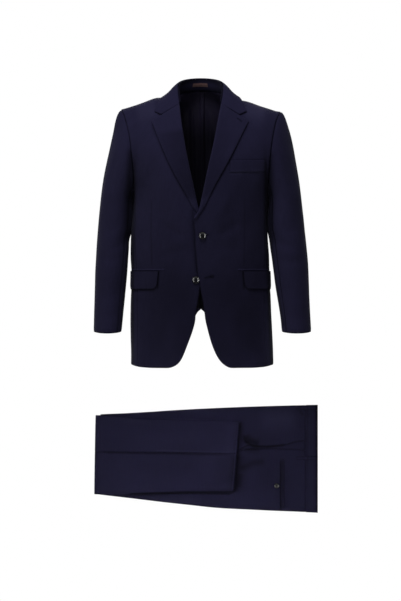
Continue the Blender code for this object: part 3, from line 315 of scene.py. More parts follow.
@dataclass(frozen=True)
class Satin:
    """Near-black lining satin, with fine warp lines, soft ripples and painted light near the neck.
    """

    name: str = "black_satin"
    deep: Colour = (0.0010, 0.0009, 0.0018, 1)
    light: Colour = (0.0034, 0.0030, 0.0060, 1)
    # The colour of the painted light near the neck.
    high: Colour = (0.0220, 0.0185, 0.0400, 1)
    # The levels between which painted light makes it paler towards the neck, where light falls in.
    high_from: float = -0.125
    high_to: float = -0.005
    high_power: float = 1.6
    warp_pitch: float = 0.00030
    ripple_scale: float = 26.0
    ripple_long: Triple = (1.0, 1.0, 0.35)
    rough: float = 0.34
    rougher: float = 0.10
    specular: float = 0.10
    depth: float = 0.00012
    bump: float = 0.5

    def material(self) -> Material:
        """Builds the finish.

        Returns:
            The material.
        """
        mix = Recipe(self.name)
        weave, place = mix.weave(), mix.place()
        warp = mix.ribs(weave, self.warp_pitch, Ribs.ACROSS, 0.4)
        ripple = mix.noise(mix.mapped(place, scale=self.ripple_long), self.ripple_scale)
        shade = mix.line(ripple, 0.8, mix.maths("MULTIPLY", warp, 0.2))
        colour = mix.blend(shade, self.deep, self.light)
        # Painted light: paler towards the neck, as if lit from above.
        level = mix.add("SeparateXYZ", {0: place}).outputs[2]
        rise = mix.add("MapRange", {"Value": level, "From Min": self.high_from,
                                    "From Max": self.high_to}).outputs[0]
        rise = mix.maths("MULTIPLY", mix.maths("POWER", rise, self.high_power),
                         mix.line(ripple, 0.9, 0.35))
        colour = mix.blend(rise, colour, self.high)
        height = mix.line(ripple, 8.0, mix.maths("MULTIPLY", warp, 0.4))
        shader = {
            "Base Color": colour, "Specular IOR Level": self.specular,
            "Roughness": mix.line(warp, self.rougher, self.rough),
        }
        return mix.finish(shader, height, self.depth, self.bump)


@dataclass(frozen=True)
class Horn:
    """Polished dark horn with faint pale streaks."""

    name: str = "dark_horn"
    dark: Colour = (0.0005, 0.0005, 0.0008, 1)
    streak: Colour = (0.0022, 0.0019, 0.0022, 1)
    grain_turn: Triple = (0.2, 0.3, 0.5)
    grain_long: Triple = (1.0, 1.0, 0.22)
    streak_scale: float = 420.0
    cloud_scale: float = 150.0
    streak_power: float = 1.6
    fine_scale: float = 2600.0
    rough: float = 0.05
    rougher: float = 0.04
    specular: float = 0.36
    depth: float = 0.00001
    bump: float = 0.1

    def material(self) -> Material:
        """Builds the finish.

        Returns:
            The material.
        """
        mix = Recipe(self.name)
        place = mix.place()
        grain = mix.mapped(place, self.grain_turn, self.grain_long)
        streaks = mix.noise(grain, self.streak_scale, 4.0)
        cloud = mix.noise(place, self.cloud_scale)
        share = mix.maths("POWER", mix.maths("MULTIPLY", streaks, cloud), self.streak_power)
        fine = mix.noise(place, self.fine_scale)
        shader = {
            "Base Color": mix.blend(share, self.dark, self.streak),
            "Roughness": mix.line(fine, self.rougher, self.rough),
            "Specular IOR Level": self.specular,
        }
        return mix.finish(shader, fine, self.depth, self.bump)


@dataclass(frozen=True)
class WovenLabel:
    """A bare woven label in reddish brown."""

    name: str = "woven_label"
    ground: Colour = (0.030, 0.011, 0.011, 1)
    raised: Colour = (0.060, 0.028, 0.027, 1)
    row_pitch: float = 0.00045
    end_pitch: float = 0.00035
    fluff_scale: float = 700.0
    rough: float = 0.50
    rougher: float = 0.15
    sheen: float = 0.1
    depth: float = 0.00010
    bump: float = 0.6

    def material(self) -> Material:
        """Builds the finish.

        Returns:
            The material.
        """
        mix = Recipe(self.name)
        weave = mix.weave()
        rows = mix.ribs(weave, self.row_pitch, Ribs.DOWN, 0.2)
        ends = mix.ribs(weave, self.end_pitch, Ribs.ACROSS, 0.2)
        tone = mix.line(mix.noise(weave, self.fluff_scale), 0.5, mix.maths("MULTIPLY", rows, 0.5))
        shader = {
            "Base Color": mix.blend(tone, self.ground, self.raised),
            "Roughness": mix.line(ends, self.rougher, self.rough),
            "Sheen Weight": self.sheen,
        }
        return mix.finish(shader, mix.maths("MULTIPLY", rows, ends), self.depth, self.bump)


@dataclass(frozen=True)
class Thread:
    """Twisted sewing thread."""

    name: str = "navy_thread"
    dark: Colour = (0.0012, 0.0011, 0.0030, 1)
    light: Colour = (0.0040, 0.0037, 0.0090, 1)
    ply_pitch: float = 0.00040
    fluff_scale: float = 500.0
    rough: float = 0.60
    rougher: float = 0.2
    specular: float = 0.08
    depth: float = 0.00010
    bump: float = 0.5

    def material(self) -> Material:
        """Builds the finish.

        Returns:
            The material.
        """
        mix = Recipe(self.name)
        place = mix.place()
        ply = mix.ribs(place, self.ply_pitch, Ribs.DIAGONAL, 0.5)
        tone = mix.line(mix.noise(place, self.fluff_scale), 0.5, mix.maths("MULTIPLY", ply, 0.5))
        shader = {
            "Base Color": mix.blend(tone, self.dark, self.light),
            "Roughness": mix.line(ply, self.rougher, self.rough),
            "Specular IOR Level": self.specular,
        }
        return mix.finish(shader, ply, self.depth, self.bump)


@dataclass(frozen=True)
class PaleFloor:
    """A plain pale studio floor."""

    name: str = "pale_floor"
    dull: Colour = (0.80, 0.80, 0.80, 1)
    clean: Colour = (0.86, 0.86, 0.86, 1)
    cloud_scale: float = 1.4
    grain_scale: float = 90.0
    rough: float = 0.75
    rougher: float = 0.1
    depth: float = 0.0004
    bump: float = 0.2

    def material(self) -> Material:
        """Builds the finish.

        Returns:
            The material.
        """
        mix = Recipe(self.name)
        place = mix.place()
        cloud = mix.noise(place, self.cloud_scale, 3.0)
        grain = mix.noise(place, self.grain_scale, 3.0)
        shader = {
            "Base Color": mix.blend(cloud, self.dull, self.clean),
            "Roughness": mix.line(grain, self.rougher, self.rough),
        }
        return mix.finish(shader, grain, self.depth, self.bump)


@dataclass
class Wardrobe:
    """Every finish, made once."""

    wool: Material
    satin: Material
    horn: Material
    label: Material
    thread: Material

    @classmethod
    def made(cls) -> "Wardrobe":
        """Builds all the finishes."""
        return cls(*(kind().material() for kind in (Worsted, Satin, Horn, WovenLabel, Thread)))


# Folds and drape


def soft_step(value: Points, start: float, end: float) -> Points:
    """0 before start, 1 past end, and a soft step between."""
    t = np.clip((value - start) / (end - start), 0.0, 1.0)
    return t * t * (3 - 2 * t)


def fading(along: Points, fade: float) -> Points:
    """1 along a line's middle, falling softly to 0 over a share of it at each end."""
    return soft_step(along, 0.0, fade) * soft_step(1.0 - along, 0.0, fade)


def nearest_on(line: Points, points: Points) -> tuple[Points, Points, Points]:
    """Finds the nearest place on a line for each point.

    Args:
        line: The line's corners in metres, one a row, with x first and z last.
        points: Places in metres, one a row, with the same columns.

    Returns:
        The distance to the line, the place's share of the way along it, and the point's side
        of it as seen from the front: 1 on the left, -1 on the right.
    """
    steps = np.linalg.norm(np.diff(line, axis=0), axis=1)
    run = np.concatenate([[0.0], np.cumsum(steps)]) / steps.sum()
    best = np.full(len(points), np.inf)
    along, side = np.zeros(len(points)), np.zeros(len(points))
    for k, step in enumerate(steps):
        way = (line[k + 1] - line[k]) / step
        rel = points - line[k]
        t = np.clip(rel @ way / step, 0.0, 1.0)
        off = rel - np.outer(t * step, way)
        far = np.linalg.norm(off, axis=1)
        near = far < best
        best[near] = far[near]
        along[near] = (run[k] + t * (run[k + 1] - run[k]))[near]
        side[near] = np.sign(way[0] * off[:, -1] - way[-1] * off[:, 0])[near]
    return best, along, side


@dataclass(frozen=True)
class Crease:
    """A soft trough (negative depth) or ridge along a line over the cloth.

    Millimetres throughout. The line runs through points (x, y, z), and the crease fades out
    at both ends.
    """

    line: tuple[Triple, ...]
    width: float
    depth: float
    lean: float = 0.0
    fade: float = 0.35

    # How far the lean reaches, in widths; the dip beside the crease; its height at its ends,
    # and how fast it falls to nothing there.
    LEAN_REACH = 1.5
    BESIDE = 0.22
    END_HEIGHT = 0.25
    END_POWER = 0.3

    def heights(self, points: Points) -> Points:
        """How far out the crease moves each point.

        Args:
            points: Places in metres, one a row.

        Returns:
            Heights in metres.
        """
        far, along, side = nearest_on(np.array(self.line) / 1000.0, points)
        u = far / (self.width / 1000.0)
        lean = 1.0 - self.lean * np.clip(u * side, -self.LEAN_REACH, self.LEAN_REACH)
        ends = fading(along, self.fade)
        rest = self.END_HEIGHT + (1.0 - self.END_HEIGHT) * ends
        shape = np.exp(-u * u) * (1.0 - self.BESIDE * u * u) * lean
        return self.depth / 1000.0 * shape * np.where(ends > 0, rest * ends ** self.END_POWER, 0.0)

    def mirrored(self, wider: float = 1.0, deeper: float = 1.0, lift: float = 0.0) -> "Crease":
        """The same crease on the other side, wider, deeper or higher."""
        return Crease(tuple((-x, y, z + lift) for x, y, z in self.line), self.width * wider,
                      self.depth * deeper, -self.lean, self.fade)


@dataclass(frozen=True)
class Table:
    """Millimetres of shift read smoothly from a table of places, also in millimetres."""

    at: tuple[float, ...]
    by: tuple[float, ...]

    def read(self, places: Points) -> Points:
        """The shifts.

        Args:
            places: Where to read, in metres.

        Returns:
            The shift at each place, in metres.
        """
        at, by = np.array(self.at) / 1000.0, np.array(self.by) / 1000.0
        slope = np.gradient(by, at)
        where = np.clip(places, at[0], at[-1])
        k = np.clip(np.searchsorted(at, where) - 1, 0, len(at) - 2)
        wide = at[k + 1] - at[k]
        t = (where - at[k]) / wide
        return ((1 + 2 * t) * (1 - t) ** 2 * by[k] + t * (1 - t) ** 2 * wide * slope[k]
                + t * t * (3 - 2 * t) * by[k + 1] + t * t * (t - 1) * wide * slope[k + 1])


@dataclass(frozen=True)
class Mark:
    """A line over the cloth's shown side that is darker, or lighter where dark is below 0.

    Pressed edges, darts and seams, with painted shade such as the soft shade under a fold,
    a lapel or a flap, and painted light along lit edges and over brighter stretches.
    Millimetres; the line runs through (x, z). A cast mark is a painted cast shadow: sharp on
    its right, going along the line, and fading on its left.
    """

    line: tuple[Flat, ...]
    width: float
    dark: float
    cast: bool = False
    fade: float = 0.08

    # The width of a cast mark's sharp side.
    SHARP = 0.9
    # What shows from the front: the jacket before a depth, and below a level the trousers, down
    # to a height over their underside.
    JACKET_TO_Y = 0.03
    TROUSERS_FROM_Z = -0.82
    OVER_REST = 0.0065

    def tones(self, points: Points) -> Points:
        """How much painted shade, or painted light where dark is below 0, the mark gives each
        point.

        Args:
            points: Places in metres, one a row.

        Returns:
            Shares from 0 to 1.
        """
        far, along, side = nearest_on(np.array(self.line) / 1000.0, points[:, (0, 2)])
        wide = np.where(self.cast & (side < 0), self.SHARP, self.width)
        _, y, z = points.T
        trousers = (z < self.TROUSERS_FROM_Z) & (y < REST_Y - self.OVER_REST)
        shown = (y < self.JACKET_TO_Y) | trousers
        return self.dark * np.exp(-(far / (wide / 1000.0)) ** 2) * fading(along, self.fade) * shown


@dataclass(frozen=True)
class Drape:
    """How the cloth of one group of panels is moved: which way is out, its creases, how its
    weight settles it, and where painted shade and painted light are marked on it."""

    way: Field
    creases: tuple[Crease, ...]
    uneven: float = 0.0
    swell: float = 0.11
    settle: Optional[Field] = None
    marks: tuple[Mark, ...] = ()
    depth: float = 1.0

    # The cloth's uneven swell: each wave's height, way and start.
    WAVES = ((1.0, (0.9, 0.25, 0.35), 1.3), (0.8, (0.55, -0.6, -0.62), 4.1),
             (0.6, (1.7, 0.3, -0.9), 0.4))

    def moves(self, points: Points) -> Points:
        """The move of each point.

        Args:
            points: Places in metres, one a row.

        Returns:
            Moves in metres, one a row.
        """
        height = np.zeros(len(points))
        for crease in self.creases:
            height += crease.heights(points)
        x, y, z = points.T
        turn = math.tau / self.swell
        wave = sum(tall * np.sin(turn * (a * x + b * y + c * z) + start)
                   for tall, (a, b, c), start in self.WAVES)
        moves = self.way(points) * (self.depth * height + self.uneven * wave)[:, None]
        return moves if self.settle is None else moves + self.settle(points)

    def tones(self, points: Points) -> Points:
        """How much painted shade, or painted light below 0, the marks give each point."""
        return sum((mark.tones(points) for mark in self.marks), np.zeros(len(points)))


# Cloth pieces


@dataclass
class ClothPiece:
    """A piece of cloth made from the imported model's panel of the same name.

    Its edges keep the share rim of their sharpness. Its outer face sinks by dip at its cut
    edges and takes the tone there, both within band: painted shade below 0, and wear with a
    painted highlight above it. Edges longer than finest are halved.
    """

    node: str
    flat: Flat
    area: float
    held: Held
    drape: Drape
    weave: Field
    level: int = 3
    rim: float = 0.9
    dip: float = 0.0006
    band: float = 0.0045
    tone: float = -0.7
    finest: float = 0.0
    slot: Slot = Slot.WOOL
    rests_on: tuple[str, ...] = ()

    MERGE = 1e-5
    # An edge of the panel is sharp past the first angle, and one of the finished cloth past the
    # second. Triangles are paired within the third and the fourth.
    SHARP = math.radians(48)
    SHADED_SHARP = math.radians(60)
    PAIR_BENT = math.radians(60)
    PAIR_UNSQUARE = math.radians(80)
    # How often long edges are halved, and how far backwards a face may be turned for it.
    HALVINGS = 3
    TURNED_AWAY = 0.2
    # A point is on the outer face where its normal and the way out agree by more than this.
    OUTER = 0.05
    TONES = (-0.96, 1.0)

    def make(self, finish: Material) -> Object:
        """Builds, folds and dresses the piece, in place of its node.

        Args:
            finish: The cloth's material.

        Returns:
            The finished object.
        """
        mesh = self.subdivided()
        self.fold(mesh)
        self.lay_weave(mesh)
        mesh.shade_smooth()
        mesh.set_sharp_from_angle(angle=self.SHADED_SHARP)
        piece = finished(self.node + "_cloth", mesh, finish, self.slot)
        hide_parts(self.node)
        list(self.rests_on)
        return piece

    def subdivided(self) -> Mesh:
        """Pairs the panel's triangles and subdivides them, with its edges kept.

        Returns:
            The new mesh.
        """
        shape = bmesh.new()
        shape.from_mesh(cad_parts[self.node].data)
        bmesh.ops.remove_doubles(shape, verts=shape.verts, dist=self.MERGE)
        bmesh.ops.join_triangles(shape, faces=shape.faces, angle_face_threshold=self.PAIR_BENT,
                                 angle_shape_threshold=self.PAIR_UNSQUARE)
        crease = shape.edges.layers.float.new("crease_edge")
        for edge in shape.edges:
            if edge.calc_face_angle(0.0) > self.SHARP:
                edge[crease] = self.rim
        holder = linked("plain_panel", mesh_of(shape, "plain_panel"))
        rounding = holder.modifiers.new("rounding", "SUBSURF")
        rounding.levels = rounding.render_levels = self.level
        mesh = applied(holder)
        if self.finest:
            self.cut_long_edges(mesh)
        return mesh

    def cut_long_edges(self, mesh: Mesh) -> None:
        """Halves long edges until flat stretches have points enough for folds and marks.

        Faces that are turned away from the viewer's side are left as they are.

        Args:
            mesh: The subdivided mesh, changed in place.
        """
        shape = bmesh.new()
        shape.from_mesh(mesh)
        for _ in range(self.HALVINGS):
            long = [e for e in shape.edges if e.calc_length() > self.finest
                    and any(f.normal.y < self.TURNED_AWAY for f in e.link_faces)]
            bmesh.ops.subdivide_edges(shape, edges=long, cuts=1, use_grid_fill=True)
        shape.to_mesh(mesh)
        shape.free()

    def fold(self, mesh: Mesh) -> None:
        """Moves the cloth by its drape, sinks its outer face along the edges, and stores painted
        shade and painted light along the edges and at the marks.

        Args:
            mesh: The subdivided mesh, changed in place.
        """
        points = read_points(mesh)
        normals = np.empty(len(points) * 3)
        mesh.vertices.foreach_get("normal", normals)
        normals = normals.reshape(-1, 3)
        way = self.drape.way(points)
        nearness = self.nearness(mesh, points)
        outer = np.einsum("ij,ij->i", normals, way) > self.OUTER
        moved = points + self.drape.moves(points)
        moved -= way * (self.dip * nearness * outer)[:, None]
        mesh.vertices.foreach_set("co", moved.ravel())
        # Painted shade along the cut edges and at the marks, and painted light with wear where
        # above 0.
        tone = mesh.attributes.new(PAINTED_LIGHT_SEAMS_AND_WEAR, "FLOAT", "POINT")
        tones = np.clip(self.tone * nearness ** 2 - self.drape.tones(moved), *self.TONES)
        tone.data.foreach_set("value", tones.astype(np.float32))
        mesh.update()

    def nearness(self, mesh: Mesh, points: Points) -> Points:
        """How near the cloth's cut edges each point lies.

        Args:
            mesh: The subdivided mesh.
            points: Its points.

        Returns:
            1 on an edge, falling to 0 at the band's width from it.
        """
        shape = bmesh.new()
        shape.from_mesh(mesh)
        rim = {v.index for e in shape.edges if e.calc_face_angle(0.0) > self.SHARP * 0.75
               for v in e.verts}
        shape.free()
        tree = KDTree(len(rim))
        for k in rim:
            tree.insert(points[k], k)
        tree.balance()
        far = np.array([tree.find(p)[2] for p in points]) if rim else np.full(len(points), 1.0)
        return 1.0 - soft_step(far, 0.0, self.band)

    def lay_weave(self, mesh: Mesh) -> None:
        """Gives the mesh a map in metres that its weave follows.

        Args:
            mesh: The folded mesh, changed in place.
        """
        places = self.weave(read_points(mesh))
        corner = np.empty(len(mesh.loops), dtype=np.int32)
        mesh.loops.foreach_get("vertex_index", corner)
        layer = mesh.uv_layers.new(name=WEAVE_MAP)
        layer.data.foreach_set("uv", places[corner].astype(np.float32).ravel())


def triangles(mesh: Mesh) -> int:
    """The number of triangles in a mesh."""
    return sum(len(p.vertices) - 2 for p in mesh.polygons)


def read_points(mesh: Mesh) -> Points:
    """Reads a mesh's points.

    Args:
        mesh: The mesh.

    Returns:
        Its points in metres, one a row.
    """
    points = np.empty(len(mesh.vertices) * 3)
    mesh.vertices.foreach_get("co", points)
    return points.reshape(-1, 3)


def mesh_of(shape: bmesh.types.BMesh, name: str) -> Mesh:
    """Turns a shape in the making into a mesh, and frees it.

    Args:
        shape: The shape.
        name: The mesh's name.

    Returns:
        The new mesh.
    """
    mesh = bpy.data.meshes.new(name)
    shape.to_mesh(mesh)
    shape.free()
    return mesh


def linked(name: str, data: Any) -> Object:
    """Puts a mesh, a light or a camera into the scene.

    Args:
        name: The object's name.
        data: What it shows.

    Returns:
        The new object, at the origin.
    """
    made = bpy.data.objects.new(name, data)
    bpy.context.collection.objects.link(made)
    return made


def applied(holder: Object) -> Mesh:
    """Applies an object's modifiers and removes the object.

    Args:
        holder: The object that carries them.

    Returns:
        A plain mesh of the result.
    """
    bpy.context.view_layer.update()
    graph = bpy.context.evaluated_depsgraph_get()
    mesh = bpy.data.meshes.new_from_object(holder.evaluated_get(graph))
    bpy.data.objects.remove(holder, do_unlink=True)
    return mesh


def finished(name: str, mesh: Mesh, finish: Material, slot: Slot) -> Object:
    """Links a finished mesh as a piece that rides on the body.

    Args:
        name: The piece's name.
        mesh: Its mesh.
        finish: Its material.
        slot: The record's slot that it is finished from; not used.

    Returns:
        The object.
    """
    mesh.name = name
    mesh.materials.clear()
    mesh.materials.append(finish)
    piece = linked(name, mesh)
    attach(piece, BODY)
    log.info("%s: %d triangles", name, triangles(mesh))
    return piece


# Ways out and weave maps of each group


def unit(ways: Points) -> Points:
    """Rows brought to length 1."""
    return ways / np.maximum(np.linalg.norm(ways, axis=1), 1e-9)[:, None]


# The body's half width at the waist, the rate at which it grows towards the chest from a level
# and over a height, its half depth, and the radius that its weave is laid on.
BODY_HALF_WIDE = 0.190
BODY_GROWS = 0.45
CHEST_FROM_Z = -0.270
CHEST_HIGH = 0.22
BODY_HALF_DEEP = 0.112
BODY_ROUND = 0.155
# Where the way out begins to turn upwards, and how far outwards it then leans.
SHOULDER_FROM_Z = -0.11
SHOULDER_LEAN = 0.3


def body_way(points: Points) -> Points:
    """The way out of the jacket's body, turning upwards over the shoulders.

    Args:
        points: Places in metres, one a row.

    Returns:
        A unit vector for each.
    """
    x, y, z = points.T
    half = BODY_HALF_WIDE + BODY_GROWS * np.clip(z - CHEST_FROM_Z, 0.0, CHEST_HIGH)
    over = soft_step(z, SHOULDER_FROM_Z, 0.0)
    flat = unit(np.stack([x / half ** 2, y / BODY_HALF_DEEP ** 2, 0 * z], 1))
    up = np.stack([SHOULDER_LEAN * np.sign(x), 0 * y, 1 + 0 * z], 1)
    return unit(flat * (1 - over)[:, None] + unit(up) * over[:, None])


def body_weave(points: Points) -> Points:
    """Round the body, and down it."""
    x, y, z = points.T
    return np.stack([np.arctan2(x, -y) * BODY_ROUND, z], 1)


@dataclass(frozen=True)
class SleeveLine:
    """The line down the middle of a sleeve."""

    side: Side
    z: tuple[float, ...] = (-0.649, -0.597, -0.531, -0.465, -0.399, -0.345, -0.300, -0.150)
    out: tuple[float, ...] = (0.2590, 0.2565, 0.2505, 0.2455, 0.2400, 0.2345, 0.2320, 0.2080)
    fore: tuple[float, ...] = (-0.040, -0.029, -0.016, -0.007, 0.000, 0.004, 0.005, 0.0)
    # The radius that its weave is laid on, and how much of it goes over the sleeve's head.
    girth: float = 0.056
    over_head: float = 0.6

    def off(self, points: Points) -> Points:
        """Measures how far each point lies off the line.

        Args:
            points: Places in metres, one a row.

        Returns:
            The vector from the line to each.
        """
        x, y, z = points.T
        level = np.minimum(z, self.z[-1])
        middle = self.side.value * np.interp(level, self.z, self.out)
        return np.stack([x - middle, y - np.interp(level, self.z, self.fore), z - level], 1)

    def way(self, points: Points) -> Points:
        """The way out of the sleeve."""
        return unit(self.off(points))

    def weave(self, facing: int, points: Points) -> Points:
        """Lays the weave round the sleeve, and down it.

        Args:
            facing: 1 for the piece on the sleeve's outer side, -1 for the one by the body.
            points: Places in metres, one a row.

        Returns:
            The map's places in metres, one a row.
        """
        off = self.off(points)
        round_it = np.arctan2(off[:, 1], off[:, 0] * (self.side.value * facing))
        return np.stack([round_it * self.girth, points[:, 2] + self.over_head * off[:, 2]], 1)


def trouser_way(points: Points) -> Points:
    """Out of the folded trousers: forwards, and nothing at their flat underside."""
    share = np.clip((REST_Y - points[:, 1]) / (REST_Y - LEG_TOP_Y), 0.0, 1.0)
    return np.stack([0 * share, -share, 0 * share], 1)


def trouser_weave(points: Points) -> Points:
    """Along the trousers, and across them."""
    return np.stack([points[:, 0] + 0.5 * points[:, 1], points[:, 2]], 1)


def collar_weave(points: Points) -> Points:
    """Round the neck, and down the collar."""
    x, y, z = points.T
    return np.stack([np.arctan2(x, y + 0.01) * 0.09, z + np.hypot(x, y) * 0.6], 1)


def turned_weave(degrees: float, points: Points) -> Points:
    """Lays a weave over a piece as seen from the front, turned by an angle.

    Args:
        degrees: The angle.
        points: Places in metres, one a row.

    Returns:
        The map's places in metres, one a row.
    """
    x, _, z = points.T
    c, s = math.cos(math.radians(degrees)), math.sin(math.radians(degrees))
    return np.stack([x * c + z * s, z * c - x * s], 1)


# Where things lie on the finished cloth


class Surface:
    """The finished outer faces of some pieces, to seat sewing and trims on."""

    # Where lines start before the suit and round it, and how far along them the cloth lies.
    START_Y = -0.5
    START_ROUND = 0.6
    REACH = 0.45

    def __init__(self, pieces: Sequence[Object]) -> None:
        """Reads the pieces.

        Args:
            pieces: Finished objects, unmoved.
        """
        points: list[Vector] = []
        faces: Faces = []
        for piece in pieces:
            start = len(points)
            points += [v.co.copy() for v in piece.data.vertices]
            faces += [tuple(start + k for k in p.vertices) for p in piece.data.polygons]
        self.tree = BVHTree.FromPolygons(points, faces)

    def front(self, x: float, z: float, height: float = 0.0) -> tuple[Vector, Vector]:
        """A place seen from the front, at a height over the face, and the way out there."""
        return self.cast(Vector((x, self.START_Y, z)), Vector((0, 1, 0)), height)

    def round(self, angle: float, z: float) -> tuple[Vector, Vector]:
        """The same, along a level line to the axis at an angle from the centre front."""
        out = Vector((math.sin(angle), -math.cos(angle), 0))
        return self.cast(out * self.START_ROUND + Vector((0, 0, z)), -out, 0.0)

    def cast(self, start: Vector, way: Vector, height: float) -> tuple[Vector, Vector]:
        """Finds the first place that a line meets, or the nearest one where it meets none.

        Args:
            start: Where the line starts.
            way: Its way, of length 1.
            height: How far over the face the place stands.

        Returns:
            The place, and the way out of the face there.
        """
        hit, normal, _, _ = self.tree.ray_cast(start, way)
        if hit is None:
            hit, normal, _, _ = self.tree.find_nearest(start + way * self.REACH)
        if normal.dot(way) > 0:
            normal = -normal
        return hit + normal * height, normal


Route = list[tuple[Vector, Vector]]
Corners = Sequence[Flat]
Seat = Callable[[float, float], tuple[Vector, Vector]]


def even_route(corners: Corners, seat: Seat, step: float = 0.006) -> Route:
    """A route over cloth through corners given in two coordinates.

    Args:
        corners: The corners.
        seat: Turns two coordinates into a place and the way out there.
        step: The longest distance between two of its points.

    Returns:
        The places with the way out at each.
    """
    route = [seat(*corners[0])]
    for (a, b), (c, d) in zip(corners, corners[1:]):
        count = max(1, math.ceil(math.hypot(c - a, d - b) / step))
        route += [seat(a + (c - a) * k / count, b + (d - b) * k / count)
                  for k in range(1, count + 1)]
    return route


# Sewing


@dataclass
class StitchRun:
    """A row of stitches that follows routes over the cloth.

    Sizes in metres. Geometry Nodes walk the routes, set a stitch at even spaces and turn it
    along the route, or across it for a whipped edge.
    """

    name: str
    routes: list[Route]
    spacing: float
    length: float
    thickness: float
    turn: float = 0.0
    seed: int = 7

    # How far a stitch strays from its turn, in radians, and its least and largest size.
    STRAY = 0.06
    SIZES = (0.88, 1.10)

    def make(self, finish: Material) -> Object:
        """Builds the stitches as one mesh.

        Args:
            finish: The thread's material.

        Returns:
            The finished object.
        """
        path = self.path()
        walker = path.modifiers.new("stitches", "NODES")
        walker.node_group = self.tree(finish)
        values = {"Spacing": self.spacing, "Length": self.length, "Thickness": self.thickness,
                  "Turn": self.turn, "Seed": self.seed}
        for item in walker.node_group.interface.items_tree:
            if item.item_type == "SOCKET" and item.in_out == "INPUT" and item.name in values:
                walker[item.identifier] = values[item.name]
        return finished(self.name, applied(path), finish, Slot.WOOL)

    def path(self) -> Object:
        """Lays the routes as a mesh of edges, with the way out stored at each point.

        Returns:
            The object that carries them.
        """
        points: list[Vector] = []
        ways: list[float] = []
        edges: list[tuple[int, int]] = []
        for route in self.routes:
            edges += [(len(points) + k, len(points) + k + 1) for k in range(len(route) - 1)]
            points += [place for place, _ in route]
            for _, way in route:
                ways += list(way)
        mesh = bpy.data.meshes.new("route")
        mesh.from_pydata(points, edges, [])
        stored = mesh.attributes.new(STITCH_WAY, "FLOAT_VECTOR", "POINT")
        stored.data.foreach_set("vector", ways)
        return linked("route", mesh)

    def tree(self, finish: Material) -> NodeTree:
        """Builds the stitch tree.

        Args:
            finish: The material that its Set Material node gives.

        Returns:
            The node tree.
        """
        tree = bpy.data.node_groups.new(self.name + "_tree", "GeometryNodeTree")
        face = tree.interface
        face.new_socket("Geometry", in_out="INPUT", socket_type="NodeSocketGeometry")
        for name in ("Spacing", "Length", "Thickness", "Turn"):
            face.new_socket(name, in_out="INPUT", socket_type="NodeSocketFloat")
        face.new_socket("Seed", in_out="INPUT", socket_type="NodeSocketInt")
        face.new_socket("Geometry", in_out="OUTPUT", socket_type="NodeSocketGeometry")
        add = partial(add_node, tree)
        given = add("NodeGroupInput").outputs
        curve = add("GeometryNodeMeshToCurve", {"Mesh": given["Geometry"]})
        even = add("GeometryNodeResampleCurve", {"Curve": curve.outputs[0],
                                                 "Length": given["Spacing"]}, mode="LENGTH")
        way = add("GeometryNodeInputNamedAttribute", {"Name": STITCH_WAY},
                  data_type="FLOAT_VECTOR")
        ahead = add("FunctionNodeAlignRotationToVector",
                    {"Vector": add("GeometryNodeInputTangent").outputs[0]}, axis="X")
        upright = add("FunctionNodeAlignRotationToVector",
                      {"Rotation": ahead.outputs[0], "Vector": way.outputs[0]},
                      axis="Z", pivot_axis="X")
        stray = add("FunctionNodeRandomValue", {"Min": -self.STRAY, "Max": self.STRAY,
                                                "Seed": given["Seed"]}, data_type="FLOAT")
        swing = add("ShaderNodeMath", {0: given["Turn"], 1: stray.outputs[1]}, operation="ADD")
        about = add("FunctionNodeAxisAngleToRotation", {"Axis": (0, 0, 1),
                                                        "Angle": swing.outputs[0]})
        turned = add("FunctionNodeRotateRotation", {0: upright.outputs[0], 1: about.outputs[0]},
                     rotation_space="LOCAL")
        shape = add("GeometryNodeMeshUVSphere", {"Segments": 8, "Rings": 5, "Radius": 0.5})
        size = add("ShaderNodeCombineXYZ", {0: given["Length"], 1: given["Thickness"],
                                            2: given["Thickness"]})
        vary = add("FunctionNodeRandomValue", {"Min": self.SIZES[0], "Max": self.SIZES[1],
                                               "Seed": given["Seed"]}, data_type="FLOAT")
        grown = add("ShaderNodeVectorMath", {0: size.outputs[0], "Scale": vary.outputs[1]},
                    operation="SCALE")
        placed = add("GeometryNodeInstanceOnPoints", {
            "Points": even.outputs[0], "Instance": shape.outputs[0],
            "Rotation": turned.outputs[0], "Scale": grown.outputs[0]})
        real = add("GeometryNodeRealizeInstances", {"Geometry": placed.outputs[0]})
        smooth = add("GeometryNodeSetShadeSmooth", {"Geometry": real.outputs[0]})
        painted = add("GeometryNodeSetMaterial", {"Geometry": smooth.outputs[0],
                                                  "Material": finish})
        add("NodeGroupOutput", {"Geometry": painted.outputs[0]})
        return tree


def tube_faces(start: int, rings: int, sides: int) -> Faces:
    """Closes rings of points to a tube.

    Args:
        start: The number of the first ring's first point.
        rings: How many rings follow each other.
        sides: How many points a ring has.

    Returns:
        The tube's faces, with both its ends.
    """
    faces: Faces = []
    for ring in range(start, start + (rings - 1) * sides, sides):
        for j in range(sides):
            a, b = ring + j, ring + (j + 1) % sides
            faces.append((a, b, b + sides, a + sides))
    end = start + (rings - 1) * sides
    return faces + [tuple(range(start, start + sides))[::-1], tuple(range(end, end + sides))]


def walked(route: Route) -> list[tuple[Vector, Vector, Vector, Vector]]:
    """Walks a route.

    Args:
        route: Places with the way out at each.

    Returns:
        Each place, the way out there, the way ahead and the way across.
    """
    last = len(route) - 1
    steps = []
    for k, (place, way) in enumerate(route):
        ahead = (route[min(k + 1, last)][0] - route[max(k - 1, 0)][0]).normalized()
        steps.append((place, way, ahead, way.cross(ahead).normalized()))
    return steps


